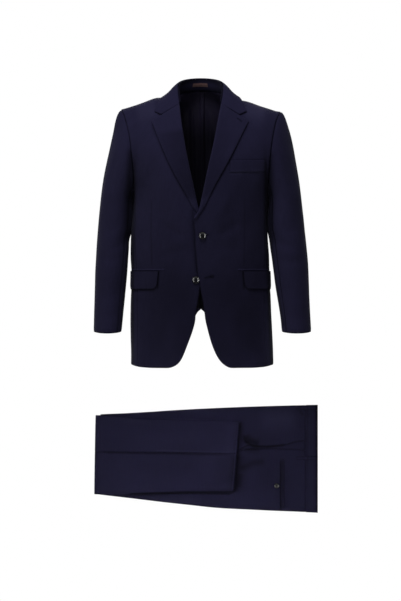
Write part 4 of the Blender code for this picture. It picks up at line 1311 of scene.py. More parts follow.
@dataclass
class Piping:
    """A narrow strip of folded cloth laid along a route, such as a pocket's jet."""

    name: str
    route: Route
    wide: float
    high: float
    sunk: float = 0.0003
    slim_end: float = 0.55

    # The strip's section, as shares of its width and height, with a foot under the cloth.
    PROFILE = ((-0.5, 0.0), (-0.46, 0.55), (-0.3, 0.9), (0.0, 1.0), (0.3, 0.9), (0.46, 0.55),
               (0.5, 0), (0, -0.2))

    def mesh(self) -> Mesh:
        """Builds the strip.

        Returns:
            Its closed mesh, with its weave map.
        """
        points: list[Vector] = []
        maps: list[Flat] = []
        run = 0.0
        last = len(self.route) - 1
        for k, (place, way, _, across) in enumerate(walked(self.route)):
            slim = self.slim_end if k in (0, last) else 1.0
            if k:
                run += (place - self.route[k - 1][0]).length
            for a, h in self.PROFILE:
                points.append(place + across * (a * self.wide * slim)
                              + way * (h * self.high * slim - self.sunk))
                maps.append((run, a * self.wide))
        mesh = bpy.data.meshes.new(self.name)
        mesh.from_pydata(points, [], tube_faces(0, len(self.route), len(self.PROFILE)))
        turn_out(mesh)
        mesh.shade_smooth()
        layer = mesh.uv_layers.new(name=WEAVE_MAP)
        for loop in mesh.loops:
            layer.data[loop.index].uv = maps[loop.vertex_index]
        return mesh

    def make(self, finish: Material, flat: Flat, area: float) -> Object:
        """Args:
            finish: Its material.
            flat: The size that the strip of cloth was cut to; not used.
            area: How much of that shows; not used.

        Returns:
            The finished object.
        """
        piece = finished(self.name, self.mesh(), finish, Slot.WOOL)
        return piece


def turn_out(mesh: Mesh) -> None:
    """Turns a closed mesh's faces outwards.

    Args:
        mesh: The mesh, changed in place.
    """
    shape = bmesh.new()
    shape.from_mesh(mesh)
    bmesh.ops.remove_doubles(shape, verts=shape.verts, dist=1e-7)
    bmesh.ops.recalc_face_normals(shape, faces=shape.faces)
    shape.to_mesh(mesh)
    shape.free()


# Jacket


# The body's soft troughs and ridges. Three of the back's left side show on its right side too.
FRONT_CREASES = (
    Crease(((30, -112, -392), (75, -112, -372), (120, -100, -345)), 16, -1.6, 0.2),
    Crease(((28, -112, -412), (80, -110, -425), (130, -95, -432)), 15, -1.2, -0.2),
    Crease(((20, -112, -360), (55, -115, -320), (84, -118, -262)), 15, 1.1),
    Crease(((86, -118, -300), (98, -112, -380), (104, -108, -455)), 14, -1.2),
    Crease(((60, -110, -560), (74, -110, -640), (88, -112, -735)), 26, 1.8),
    Crease(((118, -95, -560), (128, -98, -650), (140, -98, -738)), 24, -2.2),
    Crease(((158, -78, -420), (166, -70, -540), (172, -66, -640)), 22, -1.4),
    Crease(((120, -112, -150), (134, -104, -215), (150, -90, -262)), 17, -1.6),
    Crease(((-24, -108, -398), (-70, -110, -384), (-118, -100, -352)), 17, -1.5, 0.2),
    Crease(((-22, -108, -418), (-72, -108, -436), (-124, -96, -450)), 16, -1.3),
    Crease(((-20, -110, -366), (-52, -114, -328), (-80, -118, -270)), 15, 1),
    Crease(((-96, -116, -290), (-108, -110, -372), (-116, -104, -470)), 15, -1.3),
    Crease(((-56, -108, -570), (-72, -110, -650), (-90, -112, -738)), 27, 1.7),
    Crease(((-122, -94, -540), (-136, -96, -640), (-146, -96, -736)), 23, -2),
    Crease(((-160, -76, -430), (-168, -70, -550), (-174, -66, -650)), 22, -1.5),
    Crease(((-124, -112, -146), (-136, -104, -212), (-152, -90, -264)), 17, -1.7),
)
BACK_CREASES = (
    Crease(((24, 94, -380), (74, 92, -366), (128, 78, -352)), 17, -1.7),
    Crease(((20, 96, -424), (80, 92, -432), (138, 72, -436)), 18, -1.3),
    Crease(((62, 104, -130), (88, 104, -215), (100, 100, -300)), 24, -1.6),
    Crease(((128, 96, -150), (142, 88, -225), (150, 76, -300)), 18, -1.8),
    Crease(((58, 102, -520), (64, 106, -620), (72, 106, -715)), 26, 1.8),
    Crease(((116, 88, -520), (124, 94, -620), (132, 94, -720)), 25, -2),
)
SKIRT_CREASES = FRONT_CREASES + BACK_CREASES + (
    *(crease.mirrored(deeper=0.85) for crease in BACK_CREASES[:3]),
    Crease(((-124, 96, -156), (-140, 88, -232), (-148, 76, -310)), 19, -1.6),
    Crease(((-52, 102, -530), (-62, 106, -630), (-66, 106, -716)), 25, 1.6),
    Crease(((-112, 90, -500), (-120, 94, -610), (-130, 94, -722)), 24, -2.1),
)


# How far the body's sides lie outwards and the cutaway edges inwards, by level; how far the hem
# drops, by distance from the middle; and how far the shoulders rise, from right to left.
SIDE_OUT = {
    Side.RIGHT: Table(
        (-745, -700, -664, -620, -560, -530, -488, -444, -400, -360, -330, -290, -250),
        (-2, -1.4, 0.6, 3, 4, 2.5, 1.5, 5.5, 6.6, 6, 4, 2, 0)),
    Side.LEFT: Table(
        (-745, -700, -660, -620, -556, -530, -488, -444, -400, -360, -300, -250),
        (5, 5, 4, 3.6, 2.2, 0, -1.5, -1.1, -2.8, -2.8, -1, 0)),
}
EDGE_IN = {
    Side.RIGHT: Table((-745, -730, -686, -642, -620, -598, -570), (6, 5.5, 4.6, 4.8, 3.9, 0, 0)),
    Side.LEFT: Table((-745, -730, -700, -642, -620, -598, -570), (10, 9.4, 7.2, 5.7, 5, 2.5, 0)),
}
HEM_DROP = Table((0, 60, 90, 110, 125, 140, 155, 175, 190, 215),
                 (-1, -2, -2.5, -4, -5.5, -7, -8, -8.8, -7, -6))
SHOULDER_RISE = Table(
    (-240, -225, -205, -160, -122, -106, -90, 85, 109, 125, 158, 191, 208, 226, 240),
    (5, 6.4, 5.6, 6.6, 5.4, 1.5, 0, 0, -4.2, -3, -2.2, -1.6, -1, 2.5, 4))


def shoulder_settle(points: Points) -> Points:
    """Raises or lowers the padded shoulders, and the sleeves' heads with them.

    Args:
        points: Places in metres, one a row.

    Returns:
        Moves in metres, one a row.
    """
    x, _, z = points.T
    slope = -0.005 - 0.36 * np.maximum(np.abs(x) - 0.1, 0.0)
    share = soft_step(z - slope, -0.036, -0.006)
    return np.stack([0 * x, 0 * x, SHOULDER_RISE.read(x) * share], 1)


# The body's darts and seams, the slit of the lower buttonhole, and painted shade and painted
# light: shadows cast by the lapels, flaps and overlapping front, shade between sleeves and
# body, and broad darker and lighter stretches.
BODY_MARKS = (
    Mark(((-135, -283), (-136, -380), (-134, -478)), 2, 0.32),
    Mark(((118, -283), (119, -380), (117, -478)), 2, 0.28),
    Mark(((-179, -110), (-184, -230), (-189, -400), (-189, -540)), 7.5, 0.94, fade=0.35),
    Mark(((173, -110), (178, -230), (182, -400), (185, -540)), 7.5, 0.96, fade=0.35),
    Mark(((-186, -50), (-112, -38)), 28, -0.36, fade=0.3),
    Mark(((186, -50), (112, -38)), 28, -0.55, fade=0.3),
    Mark(((8, -505.5), (22, -502.5), (37, -498)), 2.2, 0.9),
    Mark(((-8, -500), (-9, -478), (-12, -440), (-15.5, -400), (-19, -357), (-21, -310)),
         7, 0.55, True),
    Mark(((-187, -380), (-187.5, -480), (-187.5, -620), (-187, -745)), 3.4, 0.85, fade=0.03),
    Mark(((180, -380), (184, -480), (188, -620), (192, -700), (195, -745)), 3.4, 0.85,
         fade=0.03),
    Mark(((77, -217.5), (173, -214.5)), 5, -0.6, fade=0.05),
    Mark(((176, -560), (184, -745)), 13, -0.32, fade=0.1),
    Mark(((-178, -560), (-176, -745)), 10, -0.12, fade=0.1),
    Mark(((-116, -484), (-119.5, -534)), 3.4, 0.75, True),
    Mark(((119, -534), (115, -484)), 3.4, 0.75, True),
    Mark(((-34.5, -288), (-56.5, -249), (-80, -206), (-103.5, -154), (-127, -96),
          (-135.5, -75)), 4.5, 0.6, True),
    Mark(((130, -76), (115.5, -104), (92, -151), (63.5, -206), (37, -252), (20, -289)),
         4.5, 0.6, True),
    Mark(((195, -534.5), (122, -534.5)), 3.5, 0.08, True),
    Mark(((-122, -534.5), (-195, -534.5)), 3.5, 0.42, True),
    Mark(((112, -483.5), (190, -483.5)), 1.6, 0.5),
    Mark(((-112, -483.5), (-190, -483.5)), 1.6, 0.5),
    Mark(((0, -400), (0, -850)), 190, 0.4, fade=0.35),
    Mark(((112, -140), (120, -790)), 75, 0.18, fade=0.18),
    Mark(((-105, -300), (-100, -800)), 62, 0.2, fade=0.3),
    Mark(((-60, -330), (-90, -372), (-70, -420)), 22, 0.1, fade=0.4),
    Mark(((70, -560), (82, -640), (95, -730)), 16, -0.12, fade=0.3),
    Mark(((-64, -570), (-80, -650), (-100, -738)), 16, -0.1, fade=0.3),
    Mark(((130, -560), (138, -640), (146, -735)), 18, 0.14, fade=0.3),
)


# How far the fronts' overlap lies to the wearer's right, by level.
CLOSING = Table(
    (-570, -540, -528, -509, -500, -487, -470, -457, -437, -417, -387, -357, -330),
    (0, 1.5, 2, 2.2, 3.6, 5, 3.6, 2.5, 1, 0, -2, 0, 0))
CLOSING_X = -0.006
CUTAWAY_FROM_Z = -0.570


def body_settle(points: Points) -> Points:
    """Settles the body's sides, cutaway edges, hem, closing and shoulders.

    Args:
        points: Places in metres, one a row.

    Returns:
        Moves in metres, one a row.
    """
    x, y, z = points.T
    moves = shoulder_settle(points)
    outer = np.clip(np.abs(x) / BODY_HALF_WIDE, 0.0, 1.0) ** 4
    front = soft_step(-y, 0.03, 0.06)
    inner = (1.0 - soft_step(np.abs(x), 0.060, 0.140)) * front
    for side in Side:
        mine = x * side.value > 0
        shift = SIDE_OUT[side].read(z) * outer
        shift -= EDGE_IN[side].read(z) * inner * (z < CUTAWAY_FROM_Z)
        moves[mine, 0] += side.value * shift[mine]
    moves[:, 2] += HEM_DROP.read(np.abs(x)) * soft_step(-z, 0.560, 0.730)
    closing = (1.0 - soft_step(np.abs(x - CLOSING_X), 0.016, 0.060)) * front
    moves[:, 0] -= CLOSING.read(z) * closing
    return moves


# The lining's loose folds: their greatest depth, their mean share of it, and for each wave its
# height, its turns a metre across and up, and its start.
LINING_DEEP = 0.0019
LINING_MEAN = 0.8
LINING_WAVES = ((0.5, 310.0, 9.0, 0.7), (0.5, 190.0, -6.0, 2.1), (0.3, 520.0, 14.0, 0.0))


def lining_settle(points: Points) -> Points:
    """Folds the lining inwards, with the body's moves.

    Args:
        points: Places in metres, one a row.

    Returns:
        Moves in metres, one a row.
    """
    x, _, z = points.T
    folds = LINING_MEAN
    for tall, across, up, start in LINING_WAVES:
        folds = folds + tall * np.sin(across * x + up * z + start)
    where = (1 - soft_step(np.abs(x), 0.060, 0.110)) * soft_step(-z, 0.030, 0.060)
    moves = body_settle(points)
    moves[:, 1] -= LINING_DEEP * np.maximum(folds, 0.0) * where
    return moves


@dataclass
class JacketBody:
    """Fronts, sides and backs, with the lining that shows inside the neck."""

    wardrobe: Wardrobe
    drape: Drape = Drape(body_way, SKIRT_CREASES, 0.0005, settle=body_settle, marks=BODY_MARKS,
                         depth=1.5)
    front_flat: Flat = (0.245, 0.790)
    front_area: dict[Side, float] = field(
        default_factory=lambda: {Side.LEFT: 0.1375, Side.RIGHT: 0.1328})
    side_flat: Flat = (0.125, 0.490)
    side_area: float = 0.0512
    back_flat: Flat = (0.237, 0.775)
    back_area: float = 0.1432
    lining_flat: Flat = (0.430, 0.616)
    lining_area: float = 0.2115

    def make(self) -> Pieces:
        """Builds the panels.

        Returns:
            The finished objects by their nodes' names.
        """
        made = {}
        for side in Side:
            for part, flat, area in (
                ("front", self.front_flat, self.front_area[side]),
                ("side", self.side_flat, self.side_area),
                ("back", self.back_flat, self.back_area),
            ):
                node = f"{part}_{side.word}"
                made[node] = ClothPiece(node, flat, area, Held.HUNG, self.drape, body_weave,
                                        tone=-0.25).make(self.wardrobe.wool)
        made["back_lining"] = ClothPiece(
            "back_lining", self.lining_flat, self.lining_area, Held.HUNG,
            Drape(body_way, self.drape.creases, 0.0005, settle=lining_settle),
            body_weave, level=2, dip=0.0, finest=0.006, slot=Slot.LINING,
        ).make(self.wardrobe.satin)
        return made


# The left sleeve's soft troughs: under the head, at the elbow and over the cuff. The right
# sleeve's are the same, mirrored and varied.
ARM_CREASES = (
    Crease(((214, -48, -150), (238, -56, -205), (252, -48, -285)), 16, -2.6, 0.3),
    Crease(((262, -38, -240), (268, -30, -330), (270, -30, -400)), 20, 1.6),
    Crease(((206, -48, -395), (238, -66, -415), (272, -48, -428)), 13, -2, 0.3),
    Crease(((210, -55, -455), (246, -72, -462), (284, -46, -455)), 14, -1.8, -0.3),
    Crease(((224, -62, -350), (240, -70, -372), (262, -60, -380)), 11, -1.2),
    Crease(((226, -60, -520), (250, -76, -545), (282, -58, -562)), 18, -1.5),
    Crease(((236, -66, -590), (252, -78, -612), (272, -76, -630)), 16, -1),
    Crease(((214, 44, -150), (240, 58, -215), (254, 56, -300)), 17, -2.4),
    Crease(((208, 50, -390), (240, 70, -408), (276, 52, -420)), 15, -1.9),
    Crease(((214, 46, -452), (250, 62, -470), (284, 42, -476)), 15, -1.6),
    Crease(((224, 20, -540), (252, 30, -560), (284, 10, -570)), 18, -1.2),
)
SLEEVE_CREASES = {
    Side.LEFT: ARM_CREASES,
    Side.RIGHT: tuple(
        crease.mirrored(1.08 if k % 2 else 0.95, 0.85 if k % 3 else 1.12, -7 * (k % 3 - 1))
        for k, crease in enumerate(ARM_CREASES)),
}

# The shade along each sleeve's inner side, beside the body, and its outer side.
SLEEVE_MARKS = {
    Side.LEFT: (
        Mark(((186, -150), (188, -230), (189, -330), (190, -420)), 11, 0.8),
        Mark(((190, -400), (203, -500), (226, -640)), 3.4, 0.8, fade=0.03),
        Mark(((234, -70), (260, -180), (276, -290), (288, -400), (296, -510), (302, -640)),
             2.4, 0.6, fade=0.03)),
    Side.RIGHT: (
        Mark(((-188, -140), (-196, -230), (-199, -330), (-200, -420)), 11, 0.76),
        Mark(((-198, -400), (-206, -500), (-220, -640)), 3.4, 0.8, fade=0.03),
        Mark(((-233, -70), (-257, -180), (-275.6, -290), (-285, -400), (-290.7, -510),
              (-294.5, -640)), 2.4, 0.6, fade=0.03)),
}

# How far each sleeve's outer and inner sides lie outwards, by level.
SLEEVE_OUT = {
    Side.LEFT: Table(
        (-655, -620, -576, -532, -488, -466, -422, -400, -378, -334, -268, -202, -136, -70, -40),
        (5, 4.6, 5.2, 5.2, 5, 5.4, 4.7, 4, 3.2, 3, 3, 3, 1.8, 1.7, 1.5)),
    Side.RIGHT: Table(
        (-655, -620, -576, -532, -488, -444, -400, -356, -312, -268, -224, -180, -136, -92, -60),
        (-2, -2.5, -2.2, -0.3, 1.2, 0.3, 0, 1.4, 2.8, 3.6, 2.8, 0, -2.4, -1.9, 2)),
}
SLEEVE_IN = {
    Side.LEFT: Table(
        (-655, -620, -576, -532, -488, -466, -444, -422, -402, -384, -372, -350, -320, -290, -240),
        (-0.8, -0.8, -2.2, -3.3, -4.4, -5.4, -6, -6.6, -6.6, -8, -10, -10, -8, -5, 0)),
    Side.RIGHT: Table(
        (-655, -620, -576, -532, -488, -444, -422, -402, -390, -380, -372, -350, -320, -290, -240),
        (-4.4, -4.7, -3.6, -1.9, -1.4, 0, 0.8, 2.2, 1.2, -1.5, -3, -3.6, -4, -3, 0)),
}


@dataclass(frozen=True)
class SleeveSettle:
    """How a sleeve's outer and inner sides settle, and its head with the shoulder."""

    line: SleeveLine
    radius: float = 0.058

    def moves(self, points: Points) -> Points:
        """The moves.

        Args:
            points: Places in metres, one a row.

        Returns:
            Moves in metres, one a row.
        """
        side = self.line.side
        z = points[:, 2]
        share = np.clip(0.5 + 0.5 * self.line.off(points)[:, 0] * side.value / self.radius, 0, 1)
        share = share * share * (3 - 2 * share)
        shift = SLEEVE_OUT[side].read(z) * share + SLEEVE_IN[side].read(z) * (1 - share)
        moves = shoulder_settle(points)
        moves[:, 0] += side.value * shift * (1 - soft_step(z, -0.11, -0.05))
        return moves


@dataclass
class Sleeves:
    """Both sleeves, each an upper and an under piece."""

    wardrobe: Wardrobe
    upper_flat: Flat = (0.250, 0.660)
    upper_area: float = 0.1268
    under_flat: Flat = (0.133, 0.452)
    under_area: float = 0.0456
    uneven: float = 0.00045

    def make(self) -> Pieces:
        """Builds the sleeves.

        Returns:
            The finished objects by their nodes' names.
        """
        made = {}
        for side in Side:
            line = SleeveLine(side)
            drape = Drape(line.way, SLEEVE_CREASES[side], self.uneven, 0.13,
                          SleeveSettle(line).moves, SLEEVE_MARKS[side], 1.3)
            upper, under = f"sleeve_upper_{side.word}", f"sleeve_under_{side.word}"
            made[upper] = ClothPiece(
                upper, self.upper_flat, self.upper_area, Held.HUNG, drape,
                partial(line.weave, 1), dip=0.0009,
                rests_on=(f"front_{side.word}", f"back_{side.word}"),
            ).make(self.wardrobe.wool)
            made[under] = ClothPiece(
                under, self.under_flat, self.under_area, Held.HUNG, drape,
                partial(line.weave, -1), rests_on=(f"side_{side.word}",),
            ).make(self.wardrobe.wool)
        return made


# Ridges where the lapels' edges and notches stand a little off the fronts.
LAPEL_CREASES = (
    Crease(((22, -112, -284), (64, -112, -205), (92, -110, -150), (130, -100, -76)),
           13, 1.5, fade=0.16),
    Crease(((-38, -112, -284), (-80, -112, -205), (-104, -110, -153), (-136, -100, -76)),
           13, 1.5, fade=0.16),
    Crease(((104, -100, -60), (131, -98, -70)), 9, 0.7),
    Crease(((-108, -100, -58), (-137, -98, -70)), 9, 0.7),
    Crease(((52, -118, -100), (38, -118, -190), (16, -118, -280)), 16, 0.9),
    Crease(((-56, -118, -100), (-44, -118, -190), (-26, -118, -280)), 16, 0.9),
)


def collar_settle(points: Points) -> Points:
    """How far the collar's top stands up behind the neck."""
    rise = 0.0030 * soft_step(points[:, 2], 0.014, 0.040)
    return np.stack([0 * rise, 0 * rise, rise], 1)


@dataclass
class CollarAndLapels:
    """The turned-down collar, its stand and the lapels."""

    wardrobe: Wardrobe
    # Its marks paint shade over the lapels, deep on the wearer's right one and faint on the left.
    drape: Drape = Drape(body_way, SKIRT_CREASES + LAPEL_CREASES, 0.0005, marks=(
        Mark(((-62, -90), (-22, -300)), 70, 0.38, fade=0.1),
        Mark(((58, -90), (14, -300)), 70, 0.08, fade=0.1)))
    collar_drape: Drape = Drape(body_way, (), settle=collar_settle)
    lapel_flat: dict[Side, Flat] = field(
        default_factory=lambda: {Side.LEFT: (0.092, 0.316), Side.RIGHT: (0.092, 0.330)})
    lapel_area: dict[Side, float] = field(
        default_factory=lambda: {Side.LEFT: 0.0163, Side.RIGHT: 0.0169})
    lapel_grain: float = 24.0
    fall_flat: Flat = (0.385, 0.080)
    fall_area: float = 0.0257
    stand_flat: Flat = (0.228, 0.040)
    stand_area: float = 0.0081

    def make(self) -> Pieces:
        """Builds the pieces.

        Returns:
            The finished objects by their nodes' names.
        """
        made = {}
        for side in Side:
            node = f"lapel_{side.word}"
            # A tone above 0 paints the lapels' edges lighter, as wear with a painted highlight on
            # the roll.
            made[node] = ClothPiece(
                node, self.lapel_flat[side], self.lapel_area[side], Held.FOLDED, self.drape,
                partial(turned_weave, -self.lapel_grain * side.value), dip=0.0004, band=0.0030,
                tone=0.12, rests_on=(f"front_{side.word}",),
            ).make(self.wardrobe.wool)
        made["collar_fall"] = ClothPiece(
            "collar_fall", self.fall_flat, self.fall_area, Held.FOLDED, self.collar_drape,
            collar_weave, dip=0.0004, band=0.0030, tone=-0.3, rests_on=("collar_stand",),
        ).make(self.wardrobe.wool)
        # The stand's dark tone, over a band wider than itself, is painted shade inside the neck.
        made["collar_stand"] = ClothPiece(
            "collar_stand", self.stand_flat, self.stand_area, Held.FOLDED, self.collar_drape,
            collar_weave, dip=0.0, band=0.030, tone=-0.85,
        ).make(self.wardrobe.wool)
        return made


@dataclass
class Label:
    """The bare label inside the collar."""

    wardrobe: Wardrobe
    flat: Flat = (0.0446, 0.0106)
    area: float = 0.00045
    wider: float = 0.11
    higher: float = 0.0015
    # How far its back and its face stand off the band.
    back_off: float = 0.0004
    face_off: float = 0.0018
    # Within this distance across, points nearer the band than the mean are its back.
    beside: float = 0.0012

    def make(self, band: Surface) -> Object:
        """Builds the label.

        Args:
            band: The collar's inner band, which it lies on.

        Returns:
            The finished object.
        """
        drape = Drape(body_way, (), settle=partial(self.laid, band))
        return ClothPiece("label", self.flat, self.area, Held.LAID, drape,
                          partial(turned_weave, 0.0), dip=0.0, tone=0.0, slot=Slot.LABEL,
                          rests_on=("collar_stand",)).make(self.wardrobe.label)

    def laid(self, band: Surface, points: Points) -> Points:
        """Lays the label onto the band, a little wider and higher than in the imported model.

        Args:
            band: The collar's inner band.
            points: The label's points in metres, one a row.

        Returns:
            Moves in metres, one a row.
        """
        x, y, z = points.T
        out = self.wider * (x - (x.min() + x.max()) / 2)
        places = [(round(a, 4), round(b, 4)) for a, b in zip(x + out, z)]
        seats = {(a, b): band.front(a, b + self.higher)[0].y for a, b in set(places)}
        seat = np.array([seats[place] for place in places])
        back = y > np.array([y[np.abs(x - a) < self.beside].mean() for a in x])
        off = np.where(back, self.back_off, self.face_off)
        return np.stack([out, seat - off - y, self.higher + 0 * y], 1)


@dataclass
class Pockets:
    """Hip pocket flaps with the jets over them, and the breast pocket's welt."""

    wardrobe: Wardrobe
    drape: Drape
    flap_flat: Flat = (0.128, 0.0515)
    flap_area: float = 0.0064
    welt_flat: Flat = (0.110, 0.038)
    welt_area: float = 0.0038
    jet_wide: float = 0.0052
    jet_high: float = 0.0016
    jet_z: float = -0.4812
    jet_from: float = 0.1120
    jet_to: float = 86.0
    jet_flat: Flat = (0.0105, 0.134)
    jet_area: float = 0.0008
    jet_steps: int = 44
    # How far from the axis the jet starts, for its angle there.
    jet_round: float = 0.158

    def make(self, cloth: Surface) -> Pieces:
        """Builds the pockets.

        Args:
            cloth: The finished body.

        Returns:
            The finished objects by name.
        """
        made = {}
        for side in Side:
            node = f"flap_{side.word}"
            made[node] = ClothPiece(
                node, self.flap_flat, self.flap_area, Held.HUNG, self.drape, body_weave,
                dip=0.0005, band=0.0030, tone=-0.45,
                rests_on=(f"front_{side.word}", f"side_{side.word}"),
            ).make(self.wardrobe.wool)
            made[f"jet_{side.word}"] = self.jet(side, cloth)
        made["breast_welt"] = ClothPiece(
            "breast_welt", self.welt_flat, self.welt_area, Held.LAID, self.drape,
            partial(turned_weave, 2.0), dip=0.0010, band=0.0036, tone=-0.08,
            rests_on=("front_left",),
        ).make(self.wardrobe.wool)
        return made

    def jet(self, side: Side, cloth: Surface) -> Object:
        """Builds the folded strip that edges a pocket's mouth over its flap.

        Args:
            side: The pocket's side.
            cloth: The finished body.

        Returns:
            The finished object.
        """
        start = math.asin(self.jet_from / self.jet_round)
        end = math.radians(self.jet_to)
        route = [
            cloth.round(side.value * (start + (end - start) * k / self.jet_steps), self.jet_z)
            for k in range(self.jet_steps + 1)
        ]
        jet = Piping(f"pocket_jet_{side.word}", route, self.jet_wide, self.jet_high)
        return jet.make(self.wardrobe.wool, self.jet_flat, self.jet_area)


# Buttons


@dataclass
class Button:
    """A four-hole button sewn to its cloth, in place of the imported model's plain one."""

    node: str
    wide: float
    thick: float
    hole: float = 0.0016
    hole_out: float = 0.0021
    steps: int = 56
    turn: float = 0.2
    sharp: float = 38.0
    strands: int = 4
    strand_gap: float = 0.00032
    strand_thick: float = 0.00019

    # The button's section, from the middle of its foot round the rim to the middle of its dish,
    # as shares of its half width and its thickness.
    PROFILE = ((0.0, 0.02), (0.72, 0.0), (0.90, 0.12), (0.985, 0.34), (1.0, 0.55), (0.985, 0.80),
               (0.94, 0.96), (0.89, 1), (0.84, 0.98), (0.76, 0.89), (0.66, 0.765), (0.54, 0.65),
               (0.4, 0.575), (0.22, 0.54), (0, 0.53))

    # A thread's way through two holes, as shares of the way from the middle to each.
    OVER = (-1.0, -0.8, -0.4, 0.0, 0.4, 0.8, 1.0)

    def seat(self) -> Matrix:
        """Finds the button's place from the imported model's button.

        Returns:
            A matrix with its foot at the middle and Z out of the cloth.
        """
        points = np.array([v.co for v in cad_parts[self.node].data.vertices])
        points = np.unique(points.round(6), axis=0)
        middle = points.mean(0)
        _, _, axes = np.linalg.svd(points - middle, full_matrices=False)
        way = Vector(axes[2])
        if way.y > 0:
            way = -way
        low = min((points - middle) @ np.array(way))
        foot = Vector(middle) + way * low
        turn = way.to_track_quat("Z", "Y").to_matrix().to_4x4()
        return Matrix.Translation(foot) @ turn @ Matrix.Rotation(self.turn, 4, "Z")

    def holes(self) -> list[Flat]:
        """Where the four holes lie."""
        out = self.hole_out
        return [(out, out), (-out, out), (-out, -out), (out, -out)]

    def make(self, wardrobe: Wardrobe) -> Object:
        """Builds the button.

        Args:
            wardrobe: The finishes.

        Returns:
            The finished object.
        """
        half = self.wide / 2
        shape = bmesh.new()
        points = [shape.verts.new((r * half, 0, h * self.thick)) for r, h in self.PROFILE]
        edges = [shape.edges.new(pair) for pair in zip(points, points[1:])]
        bmesh.ops.spin(shape, geom=points + edges, axis=(0, 0, 1), cent=(0, 0, 0),
                       angle=math.tau, steps=self.steps, use_merge=True)
        bmesh.ops.remove_doubles(shape, verts=shape.verts, dist=1e-6)
        bmesh.ops.recalc_face_normals(shape, faces=shape.faces)
        body = linked("plain_button", mesh_of(shape, "plain_button"))
        drills = self.drills()
        bore = body.modifiers.new("holes", "BOOLEAN")
        bore.operation, bore.solver, bore.object = "DIFFERENCE", "EXACT", drills
        mesh = applied(body)
        bpy.data.objects.remove(drills, do_unlink=True)
        mesh.transform(self.seat())
        mesh.shade_smooth()
        mesh.set_sharp_from_angle(angle=math.radians(self.sharp))
        piece = finished(self.node + "_turned", mesh, wardrobe.horn, Slot.HORN)
        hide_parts(self.node)
        self.threads(wardrobe)
        return piece

    def drills(self) -> Object:
        """Stands four rods where the holes go.

        Returns:
            The rods as one object.
        """
        shape = bmesh.new()
        for x, y in self.holes():
            bmesh.ops.create_cone(
                shape, cap_ends=True, segments=12, radius1=self.hole / 2, radius2=self.hole / 2,
                depth=self.thick * 4, matrix=Matrix.Translation((x, y, 0)))
        return linked("drills", mesh_of(shape, "drills"))

    def threads(self, wardrobe: Wardrobe) -> Object:
        """Builds two bars of thread through the holes, each of a few strands.

        Args:
            wardrobe: The finishes.

        Returns:
            The finished object.
        """
        place = self.seat()
        way = (place.to_3x3() @ Vector((0, 0, 1))).normalized()
        top = self.thick * 0.58
        routes: list[Route] = []
        for side in (1, -1):
            for strand in range(self.strands):
                y = side * self.hole_out + (strand - (self.strands - 1) / 2) * self.strand_gap
                line = []
                for share in self.OVER:
                    x = share * (self.hole_out + 0.0002)
                    rise = top + 0.0005 * (1 - share * share) - 0.0012 * (abs(share) > 0.9)
                    line.append((place @ Vector((x, y, rise)), way))
                routes.append(line)
        name = self.node + "_thread"
        mesh = tubes(name, routes, self.strand_thick)
        return finished(name, mesh, wardrobe.thread, Slot.WOOL)


def tubes(name: str, routes: Sequence[Route], radius: float, sides: int = 6) -> Mesh:
    """Lays thin closed tubes along routes.

    Args:
        name: The mesh's name.
        routes: Their middle lines.
        radius: Their radius.
        sides: How many sides each has.

    Returns:
        One mesh of them all.
    """
    points: list[Vector] = []
    faces: Faces = []
    turns = [math.tau * j / sides for j in range(sides)]
    for route in routes:
        faces += tube_faces(len(points), len(route), sides)
        for place, _, ahead, across in walked(route):
            up = ahead.cross(across).normalized()
            points += [place + (across * math.cos(turn) + up * math.sin(turn)) * radius
                       for turn in turns]
    mesh = bpy.data.meshes.new(name)
    mesh.from_pydata(points, [], faces)
    turn_out(mesh)
    mesh.shade_smooth()
    return mesh


# Trousers


# The laid trousers' soft folds: at the pocket, along the legs and by the waist.
TROUSER_CREASES = (
    Crease(((120, 100, -948), (165, 100, -962), (215, 100, -958), (262, 100, -945)), 13, 1.5),
    Crease(((108, 100, -960), (132, 100, -950), (160, 100, -952)), 7, -1.2),
    Crease(((98, 100, -1008), (150, 100, -1016), (210, 100, -1010)), 12, -0.9),
    Crease(((180, 100, -870), (230, 100, -884), (280, 100, -880)), 16, -0.8),
    Crease(((262, 100, -900), (276, 100, -930), (284, 100, -962)), 8, -0.9),
    Crease(((258, 100, -868), (272, 100, -884), (282, 100, -906)), 7, 0.9),
    Crease(((120, 100, -1110), (180, 100, -1122), (262, 100, -1128)), 17, 0.7),
    Crease(((-270, 92, -940), (-180, 92, -938), (-60, 92, -946), (60, 92, -950)), 26, 0.6),
    Crease(((-280, 92, -1040), (-170, 92, -1046), (-40, 92, -1050), (80, 92, -1046)), 26, 0.6),
    Crease(((-262, 92, -900), (-200, 92, -906), (-120, 92, -910)), 9, -0.5),
    Crease(((88, 92, -920), (92, 92, -1000), (86, 92, -1090)), 3.5, -0.35),
    Crease(((-285, 98, -1000), (-262, 92, -1012), (-228, 92, -1016)), 9, -0.6),
)


# How far the lower edge sags, from the fold to the waist; how far the fold lies to the right of
# its line, by level; and how far the upper edge rises near the fold.
TROUSER_DROP = Table((-292, -240, -120, -20, 30, 130, 200, 250, 322),
                     (-5, -4.6, -2.9, -3.7, -5.2, -5, -4.7, -3.6, -2.5))
FOLD_OUT = Table((-1110, -1050, -1000, -950, -890), (-3.1, -2.1, -1.3, -0.5, 0.8))
TOP_RISE = Table((-292, -240, -210, -170, -130, -90), (3.6, 2.3, 1.4, 0.7, 0, 0))
# The depth that parts the laid-back leg from the layers under it, and how far its hem and the
# waist reach out.
LEG_Y = (0.0975, 0.0985)
HEM_REACH = 0.0032
WAIST_REACH = 0.0024


